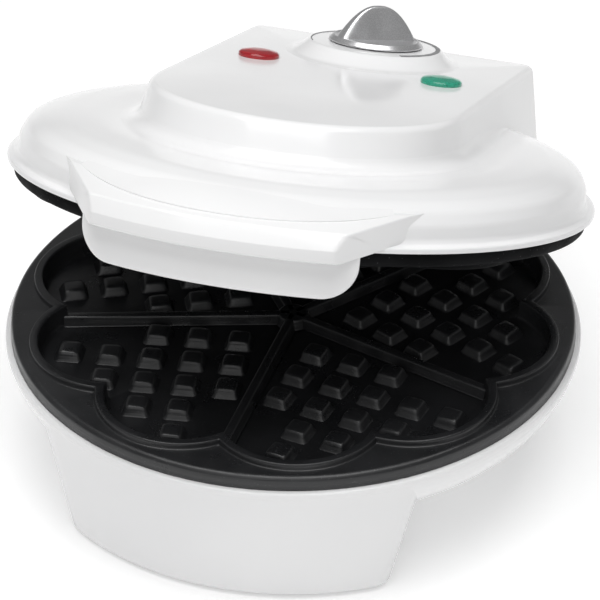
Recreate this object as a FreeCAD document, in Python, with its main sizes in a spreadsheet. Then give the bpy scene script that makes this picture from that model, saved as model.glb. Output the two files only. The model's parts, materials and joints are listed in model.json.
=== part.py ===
import FreeCAD, Part
import math
import os
import Sketcher

# Round waffle maker with a hinged lid, in millimetres.
# Work frame: X right, Y to the back, Z up, plate axis at X = Y = 0, table at Z = 0, lid shut.
# Each finished piece is then placed: base pieces are shifted onto the object's origin, and lid
# pieces are also turned about the hinge to the open rest pose.

SIZES = [
    ("axis_offset", -13.1, "plate axis along Y, seen from the object's origin"),
    ("open_angle", 20.5, "how far the lid stands open at rest"),
    ("bowl_floor", 23.4, "underside of the bowl's floor above the table"),
    ("bowl_depth", 26.6, "underside of the bowl's floor to the lower overflow face"),
    ("dam_clearance", 0.3, "between the two dams with the lid shut"),
    ("flange_radius", 93.0, "foot of a plate's outer edge"),
    ("flange_depth", 5.0, "visible height of a plate's edge"),
    ("edge_slope", 0.2, "overflow face's edge inside the foot of the plate's edge"),
    ("seat_width", 7.0, "flange outside the back of the casting"),
    ("floor_thickness", 5.5, "floor of the pan to back of the casting"),
    ("pan_depth", 5.0, "overflow face to floor of the pan"),
    ("dam_height", 2.1, "scalloped dam above the overflow face"),
    ("dam_width", 3.0, "thickness of the dam"),
    ("overflow_width", 3.8, "overflow face outside the dam"),
    ("scallop_depth", 10.1, "cusp inside the scallops' outer circle"),
    ("ridge_width", 4.6, "foot of a ridge between two hearts"),
    ("ridge_height", 3.6, "ridge above the pan floor"),
    ("peg_start", 22.0, "first peg of a heart from the plate axis"),
    ("peg_pitch", 9.5, "half the spacing of the diamond pegs"),
    ("peg_reach", 6.2, "half diagonal of a peg's foot"),
    ("peg_height", 3.2, "peg above the pan floor"),
    ("element_inset", 24.0, "ring of the heating element inside the back of the casting"),
    ("tube_radius", 2.8, "tube of the heating element"),
    ("groove_depth", 3.2, "element groove in a plate's back"),
    ("terminal_length", 7.8, "cold ends of the element"),
    ("boss_circle", 42.0, "screw bosses of a plate from its axis"),
    ("boss_radius", 5.0, "screw bosses and posts"),
    ("screw_radius", 1.9, "shank of the plate screws"),
    ("screw_grip", 4.5, "length of a plate screw inside its boss"),
    ("reflector_gap", 0.5, "heating element to reflector"),
    ("reflector_inset", 10.0, "reflector's rim inside the back of the casting"),
    ("reflector_rim", 2.0, "height of the reflector's rim"),
    ("sheet_thickness", 0.8, "reflector sheet"),
    ("rim_overlap", 2.3, "edge of the lid's rim outside the plates"),
    ("base_overlap", 1.8, "edge of the base's rim outside the plates"),
    ("rim_clearance", 3.0, "inside of both rims outside the back of the casting"),
    ("rim_height", 4.0, "upright band of the base's rim"),
    ("rim_lean", 0.65, "foot of that band inside its top"),
    ("rim_round", 0.9, "rounding of the base's rim"),
    ("wall", 2.6, "moulded wall of base and lid"),
    ("bowl_radius", 21.8, "curve of the bowl's side"),
    ("bowl_inset", 17.4, "where the bowl's side meets its floor, inside the rim"),
    ("foot_inset", 4.9, "front and back of the pedestal inside the rim"),
    ("foot_waist", 45.0, "half width at the pedestal's waist"),
    ("waist_dip", 8.6, "pedestal's corners outside its waist"),
    ("foot_lean", 0.24, "widening of the pedestal's sides per height"),
    ("foot_rake", 0.07, "widening of the pedestal's front and back per height"),
    ("foot_edge", 1.5, "pedestal's lower edge above the table"),
    ("foot_merge", 3.2, "top of the pedestal inside the bowl, below the rim's band"),
    ("cover_recess", 1.0, "floor plate inside the pedestal's edge"),
    ("cover_thickness", 2.0, "floor plate"),
    ("pad_inset_across", 12.1, "rubber feet inside the pedestal's corners along X"),
    ("pad_inset_along", 5.9, "rubber feet inside the pedestal's corners along Y"),
    ("pad_radius", 7.0, "rubber foot"),
    ("stud_radius", 2.4, "stud of a rubber foot"),
    ("cover_screw_across", 7.0, "floor plate screws inside the rubber feet along X"),
    ("cover_screw_along", 15.0, "floor plate screws inside the rubber feet along Y"),
    ("cover_screw_radius", 1.45, "shank of the floor plate screws"),
    ("cover_screw_length", 9.5, "shank of the floor plate screws"),
    ("hinge_clearance", 8.0, "hinge axis behind the plates"),
    ("rod_radius", 2.5, "hinge rod"),
    ("knuckle_radius", 7.0, "hinge knuckles"),
    ("ear_inset", 4.0, "lid ears inside the sides of the panel"),
    ("ear_width", 10.0, "lid ear along the axis"),
    ("ear_gap", 1.0, "between a post and the lid's ear"),
    ("post_width", 12.0, "hinge post along the axis"),
    ("bush_wall", 1.4, "bush in a lid ear"),
    ("clip_thickness", 0.8, "retaining rings of the hinge rod"),
    ("running", 0.05, "radial clearance of pins and shafts"),
    ("slack", 0.3, "clearance round fixed pieces"),
    ("gland_height", 14.0, "cord entry above the table"),
    ("gland_wall", 1.4, "cord entry bush round the cord"),
    ("cord_radius", 3.6, "bore for the cord"),
    ("block_length", 36.0, "terminal block along X"),
    ("block_width", 16.0, "terminal block along Y"),
    ("block_height", 10.0, "terminal block"),
    ("lead_radius", 1.1, "insulated leads"),
    ("roll_height", 7.3, "rim of the lid up to the step"),
    ("roll_step", 3.9, "side of the lid above the step, inside its rim"),
    ("shoulder_rise", 4.3, "lid's shoulder above the step"),
    ("dome_rise", 4.1, "edge of the box on the dome above the shoulder"),
    ("box_flare", 6.0, "edge of the box on the dome outside the sides of the panel"),
    ("box_rise", 29.2, "control panel above the lid's lower edge"),
    ("box_half", 51.0, "half width of the control panel"),
    ("box_nose", -2.0, "centre of the panel's round front along Y"),
    ("box_overhang", 8.8, "back of the control box behind the hinge axis"),
    ("box_corner", 5.0, "back corners of the box"),
    ("box_draft", 0.18, "widening of the box per depth"),
    ("nose_draft", 0.26, "extra slope of the box's front per depth"),
    ("skirt_rise", 1.5, "lower edge of the box at the hinge above the lid's lower edge"),
    ("panel_fillet", 1.4, "rounding of the panel's edge"),
    ("dial_margin", 2.7, "foot of the dial's mound to the back of the box"),
    ("mound_height", 4.1, "mound above the panel"),
    ("mound_flare", 2.6, "foot of the mound outside its top"),
    ("mound_rim", 0.6, "mound's top outside the grey ring"),
    ("band_width", 1.8, "grey ring round the dial"),
    ("band_gap", 4.4, "between the knob and the grey ring"),
    ("band_depth", 0.6, "grey ring set into the mound"),
    ("knob_radius", 16.2, "knob's disc"),
    ("knob_disc", 1.8, "thickness of that disc"),
    ("knob_bevel", 0.8, "bevel of that disc"),
    ("knob_lift", 0.5, "knob above the mound"),
    ("fin_half", 13.4, "half length of the fin on the knob"),
    ("fin_rise", 11.0, "fin above the knob's disc"),
    ("fin_foot", 4.2, "half thickness of the fin at its foot"),
    ("fin_tip", 1.0, "half thickness of the fin at its tip"),
    ("shaft_radius", 3.0, "thermostat shaft"),
    ("shaft_reach", 3.5, "length of the shaft inside the knob"),
    ("switch_half", 13.0, "half width of the thermostat"),
    ("switch_depth", 13.0, "depth of the thermostat"),
    ("probe_radius", 2.2, "probe that touches the plate"),
    ("fix_radius", 1.4, "shank of the thermostat's screws"),
    ("fix_length", 6.0, "shank of the thermostat's screws"),
    ("fix_head", 1.4, "seat for the heads of those screws"),
    ("lamp_across", 31.8, "lamps along X"),
    ("lamp_back", 48.2, "lamps behind the plate axis"),
    ("lens_flange", 1.9, "lamp lens outside its stem"),
    ("lens_height", 1.9, "bulge of a lens"),
    ("stem_radius", 5.0, "stem of a lens"),
    ("stem_wall", 1.2, "wall of that stem"),
    ("stem_length", 9.0, "stem below the panel"),
    ("lip_reach", 10.2, "front of the grip outside the rim"),
    ("lip_half", 38.4, "half width of the grip's front"),
    ("lip_drop", 2.4, "lower edge of the grip's lip below the lid's lower edge"),
    ("lip_face", 4.6, "height of the grip's lip"),
    ("brow_reach", 7.6, "crease on top of the grip outside the rim"),
    ("brow_rise", 7.1, "that crease above the lid's lower edge"),
    ("brow_step", 0.6, "step under the crease"),
    ("grip_flare", 17.7, "grip's ends at the dome outside its front, along X"),
    ("grip_depth", 24.3, "grip's ends at the dome inside the rim, along Y"),
    ("tongue_drop", 14.3, "lower edge of the grip's tongue below the lid's lower edge"),
    ("tongue_reach", 3.6, "front of the tongue at its lower edge outside the rim"),
    ("tongue_clearance", 1.3, "back of the tongue outside the rim"),
    ("tongue_flare", 4.6, "tongue's ends outside the grip's front"),
    ("tongue_corner", 11.0, "rounding of the tongue's lower corners"),
]

V = FreeCAD.Vector


class Size:
    """A number that carries the sheet expression it comes from."""

    def __init__(self, value, text):
        self.value = float(value)
        self.text = text

    def __add__(self, other):
        return joined(self, "+", other)

    def __radd__(self, other):
        return joined(other, "+", self)

    def __sub__(self, other):
        return joined(self, "-", other)

    def __rsub__(self, other):
        return joined(other, "-", self)

    def __mul__(self, other):
        return joined(self, "*", other)

    def __rmul__(self, other):
        return joined(other, "*", self)

    def __truediv__(self, other):
        return joined(self, "/", other)

    def __neg__(self):
        return joined(0.0, "-", self)


def as_size(number):
    """A plain number as a size."""
    return number if isinstance(number, Size) else Size(number, repr(float(number)))


def joined(first, sign, second):
    """Two sizes with an arithmetic sign between them."""
    first, second = as_size(first), as_size(second)
    values = {
        "+": first.value + second.value,
        "-": first.value - second.value,
        "*": first.value * second.value,
        "/": first.value / second.value if second.value else 0.0,
    }
    return Size(values[sign], "(%s %s %s)" % (first.text, sign, second.text))


def root(size):
    """The square root of a size."""
    return Size(math.sqrt(size.value), "sqrt(%s)" % size.text)


def bind(thing, name, size):
    """Tie a property to the sheet."""
    thing.setExpression(name, as_size(size).text)


os.makedirs("parts", exist_ok=True)
doc = FreeCAD.newDocument("waffle_maker")
sheet = doc.addObject("Spreadsheet::Sheet", "dims")


class Dims:
    """The sheet's sizes by name."""


d = Dims()
for row, (alias, value, note) in enumerate(SIZES, start=1):
    sheet.set("A%d" % row, note)
    sheet.set("B%d" % row, str(value))
    sheet.setAlias("B%d" % row, alias)
    setattr(d, alias, Size(value, "dims." + alias))
doc.recompute()

# Sizes that follow from the driving ones

d.plate_height = d.bowl_floor + d.bowl_depth
d.plate_gap = d.dam_height * 2.0 + d.dam_clearance
d.plate_depth = d.pan_depth + d.floor_thickness
d.plate_radius = d.flange_radius - d.edge_slope
d.back_radius = d.flange_radius - d.seat_width
d.dam_radius = d.plate_radius - d.overflow_width
d.element_radius = d.back_radius - d.element_inset
d.boss_height = (d.tube_radius + d.running) * 2.0 - d.groove_depth + d.reflector_gap
d.reflector_radius = d.back_radius - d.reflector_inset
d.rim_radius = d.flange_radius + d.rim_overlap
d.rim_inner = d.back_radius + d.rim_clearance
d.base_radius = d.flange_radius + d.base_overlap
d.bowl_foot = d.base_radius - d.bowl_inset
d.foot_radius = d.base_radius - d.foot_inset
d.foot_corner = d.foot_waist + d.waist_dip
d.foot_deep = root(d.foot_radius * d.foot_radius - d.foot_corner * d.foot_corner)
d.pad_across = d.foot_corner - d.pad_inset_across
d.pad_along = d.foot_deep - d.pad_inset_along
d.hinge_back = d.flange_radius + d.hinge_clearance
d.gland_radius = d.cord_radius + d.gland_wall
d.dome_radius = d.rim_radius - d.roll_step
d.dome_middle = d.box_half + d.box_flare
d.box_back = d.hinge_back + d.box_overhang
d.ring_inner = d.knob_radius + d.band_gap
d.ring_outer = d.ring_inner + d.band_width
d.mound_top = d.ring_outer + d.mound_rim
d.mound_base = d.mound_top + d.mound_flare
d.dial_back = d.box_back - d.mound_base - d.dial_margin
d.lens_radius = d.stem_radius + d.lens_flange
d.lip_radius = d.rim_radius + d.lip_reach
d.brow_radius = d.rim_radius + d.brow_reach
d.tongue_front = d.rim_radius + d.tongue_reach
d.tongue_back = d.rim_radius + d.tongue_clearance
d.tongue_half = d.lip_half + d.tongue_flare
d.grip_end_across = d.lip_half + d.grip_flare
d.grip_end_along = d.rim_radius - d.grip_depth

# Heights with the lid shut

hinge_height = d.plate_height + d.plate_gap / 2.0
lid_face = d.plate_height + d.plate_gap
rim_top = d.plate_height - d.flange_depth
band_low = rim_top - d.rim_height
lid_low = lid_face + d.flange_depth
d.foot_top = band_low - d.foot_merge
d.panel_height = lid_low + d.box_rise
d.box_skirt = lid_low + d.skirt_rise
d.lip_low = lid_low - d.lip_drop
d.lip_high = d.lip_low + d.lip_face
d.brow_height = lid_low + d.brow_rise
d.tongue_low = lid_low - d.tongue_drop

nodes = []


def finished(piece, label, placement):
    """Name a piece, put it where it belongs and list it for export."""
    piece.Label = label
    piece.Placement = placement
    nodes.append(piece)
    return piece


# Sketch helpers

def origin_feature(body, role):
    """The body's own origin plane or axis."""
    return [part for part in body.Origin.OriginFeatures if part.Role == role][0]


def new_body(name):
    """An empty body."""
    return doc.addObject("PartDesign::Body", name)


def sketch_on(body, role, lift=0):
    """A sketch on an origin plane, lifted along its normal."""
    sketch = body.newObject("Sketcher::SketchObject", body.Name + "_sketch")
    sketch.AttachmentSupport = [(origin_feature(body, role), "")]
    sketch.MapMode = "FlatFace"
    bind(sketch, "AttachmentOffset.Base.z", lift)
    return sketch


def hold(sketch, rules):
    """Add constraints; each is (constraint, size or None)."""
    indices = sketch.addConstraint([rule for rule, size in rules])
    for index, (rule, size) in zip(indices, rules):
        if size is not None:
            bind(sketch, "Constraints[%d]" % index, size)


def pinned(geometry, spot, x, y):
    """Constraints that hold a point at x, y."""
    rules = []
    for kind, axis, size in (("DistanceX", -2, x), ("DistanceY", -1, y)):
        if size.text == "0.0":
            rules.append((Sketcher.Constraint("PointOnObject", geometry, spot, axis), None))
        else:
            rules.append((Sketcher.Constraint(kind, -1, 1, geometry, spot, size.value), size))
    return rules


def arc_between(start, stop, radius, turn):
    """The short arc from start to stop; turn is 1 to the left and -1 to the right."""
    chord = stop - start
    reach = math.sqrt(radius ** 2 - chord.Length ** 2 / 4)
    centre = (start + stop) / 2 + V(-chord.y, chord.x) / chord.Length * reach * turn
    first, last = (start, stop) if turn > 0 else (stop, start)
    angles = [math.atan2(end.y - centre.y, end.x - centre.x) for end in (first, last)]
    return Part.ArcOfCircle(Part.Circle(centre, V(0, 0, 1), radius), angles[0], angles[1])


def outline(sketch, corners, closed=True):
    """Draw a loop of corners (x, y); (x, y, radius, turn) makes the side that follows an arc."""
    spots = [(as_size(corner[0]), as_size(corner[1])) for corner in corners]
    points = [V(x.value, y.value) for x, y in spots]
    first = sketch.GeometryCount
    shapes, ends, rules = [], [], []
    sides = len(corners) if closed else len(corners) - 1
    for index in range(sides):
        corner = corners[index]
        start, stop = points[index], points[(index + 1) % len(points)]
        geometry = first + index
        if len(corner) == 2:
            shapes.append(Part.LineSegment(start, stop))
            ends.append((geometry, 1, 2))
        else:
            radius, turn = as_size(corner[2]), corner[3]
            shapes.append(arc_between(start, stop, radius.value, turn))
            ends.append((geometry, 1, 2) if turn > 0 else (geometry, 2, 1))
            rules.append((Sketcher.Constraint("Radius", geometry, radius.value), radius))
    for index in range(sides):
        geometry, start, stop = ends[index]
        rules += pinned(geometry, start, *spots[index])
        if closed or index + 1 < sides:
            after = ends[(index + 1) % sides]
            rules.append((Sketcher.Constraint("Coincident", geometry, stop, after[0], after[1]), None))
        else:
            rules += pinned(geometry, stop, *spots[-1])
    sketch.addGeometry(shapes, False)
    hold(sketch, rules)
    return sketch


def circles(sketch, rounds):
    """Draw full circles (x, y, radius)."""
    first = sketch.GeometryCount
    rules = []
    shapes = []
    for index, spot in enumerate(rounds):
        x, y, radius = [as_size(part) for part in spot]
        shapes.append(Part.Circle(V(x.value, y.value), V(0, 0, 1), radius.value))
        rules += pinned(first + index, 3, x, y)
        rules.append((Sketcher.Constraint("Radius", first + index, radius.value), radius))
    sketch.addGeometry(shapes, False)
    hold(sketch, rules)
    return sketch


# Feature helpers

def revolved(name, corners):
    """A body turned about Z from a profile of (radius, height) corners."""
    body = new_body(name)
    sketch = outline(sketch_on(body, "XZ_Plane"), corners)
    turn = body.newObject("PartDesign::Revolution", name + "_turn")
    turn.Profile = sketch
    turn.ReferenceAxis = (sketch, ["V_Axis"])
    turn.Angle = 360
    sketch.Visibility = False
    doc.recompute()
    return body


def padded(body, sketch, length, reversed_way=False, taper=0):
    """A pad of a sketch."""
    pad = body.newObject("PartDesign::Pad", body.Name + "_pad")
    pad.Profile = sketch
    bind(pad, "Length", length)
    pad.Reversed = reversed_way
    pad.TaperAngle = taper
    doc.recompute()
    return pad


def pocketed(body, sketch, length, reversed_way=False):
    """A pocket of a sketch."""
    pocket = body.newObject("PartDesign::Pocket", body.Name + "_pocket")
    pocket.Profile = sketch
    bind(pocket, "Length", length)
    pocket.Reversed = reversed_way
    doc.recompute()
    return pocket


def round_pattern(body, feature, count):
    """Repeat a feature round the Z axis."""
    pattern = body.newObject("PartDesign::PolarPattern", body.Name + "_pattern")
    pattern.Originals = [feature]
    pattern.Axis = (origin_feature(body, "Z_Axis"), [""])
    pattern.Angle = 360
    pattern.Occurrences = count
    body.Tip = pattern
    doc.recompute()
    return pattern


def mirrored(body, feature):
    """Repeat a feature on the other side of the YZ plane."""
    twin = body.newObject("PartDesign::Mirrored", body.Name + "_mirror")
    twin.Originals = [feature]
    twin.MirrorPlane = (origin_feature(body, "YZ_Plane"), [""])
    body.Tip = twin
    doc.recompute()
    return twin


def lofted(name, draw, levels):
    """A body lofted between levels (height, inset); draw(sketch, height, inset) draws one."""
    body = new_body(name)
    sections = []
    for height, inset in levels:
        sketch = sketch_on(body, "XY_Plane", height)
        draw(sketch, height, as_size(inset))
        sections.append(sketch)
    doc.recompute()
    loft = body.newObject("PartDesign::AdditiveLoft", name + "_loft")
    loft.Profile = sections[0]
    loft.Sections = sections[1:]
    loft.Ruled = True
    doc.recompute()
    return body


def set_back(thing, at):
    """Bind a primitive's position."""
    for axis, size in zip("xyz", at):
        bind(thing, "Placement.Base." + axis, size)


ALONG_X = FreeCAD.Rotation(V(0, 1, 0), 90)
ALONG_Y = FreeCAD.Rotation(V(1, 0, 0), -90)
UPRIGHT = FreeCAD.Rotation()


def cylinder(name, radius, height, at, turn=UPRIGHT):
    """A cylinder that starts at a point."""
    shape = doc.addObject("Part::Cylinder", name)
    bind(shape, "Radius", radius)
    bind(shape, "Height", height)
    shape.Placement = FreeCAD.Placement(V(), turn)
    set_back(shape, at)
    return shape


def cone(name, low, high, height, at):
    """An upright frustum."""
    shape = doc.addObject("Part::Cone", name)
    bind(shape, "Radius1", low)
    bind(shape, "Radius2", high)
    bind(shape, "Height", height)
    set_back(shape, at)
    return shape


def block(name, length, width, height, at):
    """A box with its corner at a point."""
    shape = doc.addObject("Part::Box", name)
    bind(shape, "Length", length)
    bind(shape, "Width", width)
    bind(shape, "Height", height)
    set_back(shape, at)
    return shape


def fused(name, pieces):
    """The union of pieces."""
    union = doc.addObject("Part::MultiFuse", name)
    union.Shapes = pieces
    union.Refine = True
    return union


def less(name, base, tools):
    """A piece with tools cut out of it."""
    rest = doc.addObject("Part::Cut", name)
    rest.Base = base
    rest.Tool = tools[0] if len(tools) == 1 else fused(name + "_tools", tools)
    rest.Refine = True
    return rest


def shared(name, pieces):
    """The volume that pieces share."""
    common = doc.addObject("Part::MultiCommon", name)
    common.Shapes = pieces
    return common


def grouped(name, pieces):
    """Separate solids that make one node."""
    group = doc.addObject("Part::Compound", name)
    group.Links = pieces
    return group


def ring_spots(circle, count, start):
    """Points on a circle round the plate axis, with the first at an angle from X."""
    angles = [math.radians(start + 360 / count * index) for index in range(count)]
    return [(circle * math.cos(angle), circle * math.sin(angle)) for angle in angles]


def corner_spots(across, along):
    """The four corners of a rectangle round the plate axis."""
    return [(across * sx, along * sy) for sx in (-1.0, 1.0) for sy in (-1.0, 1.0)]


def screw(name, shank_radius, shank_length, at):
    """An upright screw with its head below; at is the underside of the clamped piece."""
    x, y, z = at
    head_radius = shank_radius * 1.9
    head_height = shank_radius * 1.2
    head = cylinder(name + "_head", head_radius, head_height, (x, y, z - head_height))
    shank = cylinder(name + "_shank", shank_radius, shank_length, (x, y, z))
    slot_half = head_radius * 0.15
    slot = block(name + "_slot", head_radius * 1.3, slot_half * 2, head_height / 2,
                 (x - head_radius * 0.65, y - slot_half, z - head_height))
    return less(name, fused(name + "_blank", [head, shank]), [slot])


# Placements

TURN = FreeCAD.Rotation(V(1, 0, 0), -d.open_angle.value)
HINGE = V(0, d.hinge_back.value, hinge_height.value)
SHIFT = V(0, d.axis_offset.value, 0)
BASE = FreeCAD.Placement(SHIFT, UPRIGHT)
LID = FreeCAD.Placement(SHIFT, TURN, HINGE)
LOWER = BASE * FreeCAD.Placement(V(0, 0, d.plate_height.value), UPRIGHT)
UPPER = LID * FreeCAD.Placement(V(0, 0, lid_face.value), FreeCAD.Rotation(V(0, 1, 0), 180))

# Plates, elements and reflectors are drawn with the overflow face at Z = 0 and the back below,
# so that the lid's set is the base's set turned over.

element_height = -(d.plate_depth - d.groove_depth) - d.tube_radius - d.running * 2
reflector_top = -(d.plate_depth + d.boss_height)
reflector_low = reflector_top - d.sheet_thickness
boss_spots = ring_spots(d.boss_circle, 3, 90)
terminal_angle = 10.0
thread_spare = 0.7
terminal_across = d.element_radius * math.sin(math.radians(terminal_angle))
terminal_back = d.element_radius * math.cos(math.radians(terminal_angle))


HEARTS = 5
SCALLOPS = 2 * HEARTS
cusp_radius = d.dam_radius - d.scallop_depth


def scallops(sketch, middle, cusp):
    """Arcs from cusp to cusp round the plate; two of them make the round end of one heart."""
    half = math.pi / SCALLOPS
    chord_half = cusp * math.sin(half)
    bulge = middle - cusp * math.cos(half)
    radius = (chord_half * chord_half + bulge * bulge) / (bulge * 2.0)
    angles = [math.pi / 2 + 2 * half * index for index in range(SCALLOPS)]
    return outline(sketch, [(cusp * math.cos(a), cusp * math.sin(a), radius, 1) for a in angles])


def peg_spots():
    """Peg centres of the heart at the back, on a diamond lattice inside ridges and scallops."""
    rows = [(0,), (-1, 1), (-2, 0, 2), (-1, 1), (-2, 0, 2), (-3, -1, 1, 3)]
    return [(d.peg_pitch * float(step), d.peg_start + d.peg_pitch * float(row))
            for row, steps in enumerate(rows) for step in steps]


def make_plate(name):
    """One plate casting."""
    groove = d.tube_radius + d.running * 2
    body = revolved(name, [
        (0, -d.plate_depth),
        (d.element_radius - groove, -d.plate_depth),
        (d.element_radius - groove, d.groove_depth - d.plate_depth),
        (d.element_radius + groove, d.groove_depth - d.plate_depth),
        (d.element_radius + groove, -d.plate_depth),
        (d.back_radius, -d.plate_depth),
        (d.back_radius, -d.flange_depth),
        (d.flange_radius, -d.flange_depth),
        (d.plate_radius, 0),
        (0, 0),
    ])
    padded(body, scallops(sketch_on(body, "XY_Plane"), d.dam_radius, cusp_radius), d.dam_height)
    inside = scallops(sketch_on(body, "XY_Plane", d.dam_height),
                      d.dam_radius - d.dam_width, cusp_radius - d.dam_width * 1.5)
    pocketed(body, inside, d.dam_height + d.pan_depth)
    ridge_half = d.ridge_width / 2
    ridge = outline(sketch_on(body, "XY_Plane", -d.pan_depth), [
        (-ridge_half, -cusp_radius),
        (ridge_half, -cusp_radius),
        (ridge_half, 0),
        (-ridge_half, 0),
    ])
    round_pattern(body, padded(body, ridge, d.ridge_height, taper=-14), HEARTS)
    sketch = sketch_on(body, "XY_Plane", -d.pan_depth)
    for x, y in peg_spots():
        reach = d.peg_reach
        outline(sketch, [(x - reach, y), (x, y - reach), (x + reach, y), (x, y + reach)])
    round_pattern(body, padded(body, sketch, d.peg_height, taper=-20), HEARTS)
    hub = circles(sketch_on(body, "XY_Plane", -d.pan_depth), [(0, 0, d.ridge_width * 1.3)])
    padded(body, hub, d.ridge_height, taper=-14)
    bosses = circles(sketch_on(body, "XY_Plane", -d.plate_depth),
                     [(x, y, d.boss_radius) for x, y in boss_spots])
    padded(body, bosses, d.boss_height, reversed_way=True)
    threads = circles(sketch_on(body, "XY_Plane", reflector_top),
                      [(x, y, d.screw_radius + d.running) for x, y in boss_spots])
    pocketed(body, threads, d.screw_grip + thread_spare, reversed_way=True)
    return body


def make_element(name):
    """A ring of tube, open at the back, with two cold ends that stand away from the plate."""
    ring = doc.addObject("Part::Torus", name + "_ring")
    bind(ring, "Radius1", d.element_radius)
    bind(ring, "Radius2", d.tube_radius)
    ring.Angle3 = 360 - 2 * terminal_angle
    ring.Placement = FreeCAD.Placement(V(), FreeCAD.Rotation(V(0, 0, 1), 90 + terminal_angle))
    bind(ring, "Placement.Base.z", element_height)
    pieces = [ring]
    for side in (-1.0, 1.0):
        pieces.append(cylinder(name + "_end", d.tube_radius * 0.6, d.terminal_length,
                               (terminal_across * side, terminal_back, element_height - d.terminal_length)))
    return fused(name, pieces)


def make_reflector(name):
    """A flat dish with holes for the screws and the element's ends."""
    inner = d.reflector_radius - d.sheet_thickness
    body = revolved(name, [
        (0, reflector_low),
        (d.reflector_radius, reflector_low),
        (d.reflector_radius, reflector_top + d.reflector_rim),
        (inner, reflector_top + d.reflector_rim),
        (inner, reflector_top),
        (0, reflector_top),
    ])
    holes = [(x, y, d.screw_radius + d.slack) for x, y in boss_spots]
    holes += [(terminal_across * side, terminal_back, d.tube_radius + d.slack) for side in (-1.0, 1.0)]
    sketch = circles(sketch_on(body, "XY_Plane", reflector_top), holes)
    pocketed(body, sketch, d.sheet_thickness)
    return body


for side, placement in (("lower", LOWER), ("upper", UPPER)):
    finished(make_plate(side + "_casting"), side + "_plate", placement)
    finished(make_element(side + "_tube"), side + "_heater", placement)
    finished(make_reflector(side + "_dish"), side + "_reflector", placement)

# Base shell

bowl_bend = d.bowl_floor + 2.2
bowl_form = revolved("bowl_form", [
    (0, d.bowl_floor),
    (d.bowl_foot - 6.0, d.bowl_floor),
    (d.bowl_foot, bowl_bend, d.bowl_radius, 1),
    (d.base_radius - d.rim_lean, band_low),
    (d.base_radius, rim_top - d.rim_round, d.rim_round, 1),
    (d.base_radius - d.rim_round, rim_top),
    (0, rim_top),
])
bowl_space = revolved("bowl_space", [
    (0, d.bowl_floor + d.wall),
    (d.bowl_foot - 6.5, d.bowl_floor + d.wall),
    (d.bowl_foot - 1.8, bowl_bend + d.wall, d.bowl_radius - d.wall, 1),
    (d.rim_inner, band_low - 1.0),
    (d.rim_inner, rim_top + 10.0),
    (0, rim_top + 10.0),
])


def pedestal_section(sketch, height, inset):
    """Round front and back with hollow sides, widening upwards."""
    rise = height - d.foot_edge
    radius = d.foot_radius + rise * d.foot_rake - inset
    corner = d.foot_corner + rise * d.foot_lean - inset * 1.2
    waist = d.foot_waist + rise * d.foot_lean - inset
    deep = root(radius * radius - corner * corner)
    dip = corner - waist
    side = (deep * deep + dip * dip) / (dip * 2.0)
    return outline(sketch, [
        (-corner, -deep, radius, 1),
        (corner, -deep, side, -1),
        (corner, deep, radius, 1),
        (-corner, deep, side, -1),
    ])


foot_form = lofted("foot_form", pedestal_section, [(d.foot_edge, 0), (d.foot_top, 0)])
foot_space = lofted("foot_space", pedestal_section, [(d.foot_edge - 1.0, d.wall), (d.bowl_floor, d.wall)])

ear_outer = d.box_half - d.ear_inset
ear_inner = ear_outer - d.ear_width
post_inner = ear_inner - d.ear_gap - d.post_width
post_root = d.foot_radius - 18.0
post_body = new_body("post_form")
post_sketch = outline(sketch_on(post_body, "YZ_Plane", post_inner), [
    (post_root, d.bowl_floor + 6.0),
    (d.hinge_back - 8.0, d.bowl_floor + 6.0),
    (d.hinge_back + d.knuckle_radius - 1.6, hinge_height - d.knuckle_radius - 3.0),
    (d.hinge_back + d.knuckle_radius, hinge_height, d.knuckle_radius, 1),
    (d.hinge_back, hinge_height + d.knuckle_radius, d.knuckle_radius, 1),
    (d.hinge_back - d.knuckle_radius, hinge_height),
    (d.hinge_back - d.knuckle_radius, band_low),
    (post_root, band_low),
])
mirrored(post_body, padded(post_body, post_sketch, d.post_width))

cover_low = d.foot_edge + d.cover_recess
cover_top = cover_low + d.cover_thickness
cover_spots = corner_spots(d.pad_across - d.cover_screw_across, d.pad_along - d.cover_screw_along)
post_top = d.plate_height + reflector_low
shell_posts = [cylinder("plate_post", d.boss_radius, post_top - d.bowl_floor, (x, y, d.bowl_floor))
               for x, y in boss_spots]
shell_posts += [cylinder("cover_post", d.boss_radius - 0.8, d.bowl_floor + 1.0 - cover_top, (x, y, cover_top))
                for x, y in cover_spots]
shell_holes = [cylinder("plate_hole", d.screw_radius + d.slack, post_top, (x, y, cover_top))
               for x, y in boss_spots]
shell_holes += [cylinder("cover_hole", d.cover_screw_radius + d.running, d.cover_screw_length + thread_spare,
                         (x, y, cover_low)) for x, y in cover_spots]
shell_holes.append(cylinder("rod_hole", d.rod_radius + d.running, d.rim_radius * 2,
                            (-d.rim_radius, d.hinge_back, hinge_height), ALONG_X))
shell_holes.append(cylinder("gland_hole", d.gland_radius + d.running * 2, 20.0,
                            (0, d.foot_radius - 12.0, d.gland_height), ALONG_Y))
for side in (-1.0, 1.0):
    shell_holes.append(cylinder("lead_hole", d.tube_radius + d.slack, d.wall * 3.0,
                                (terminal_across * side, terminal_back, d.bowl_floor - d.wall)))
base_solid = fused("base_forms", [bowl_form, foot_form, post_body])
base_hull = less("base_hull", base_solid, [bowl_space, foot_space])
base_shell = less("base_moulding", fused("base_posts", [base_hull] + shell_posts), shell_holes)
finished(base_shell, "base_shell", BASE)

# Floor plate, feet and fasteners of the base

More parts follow.
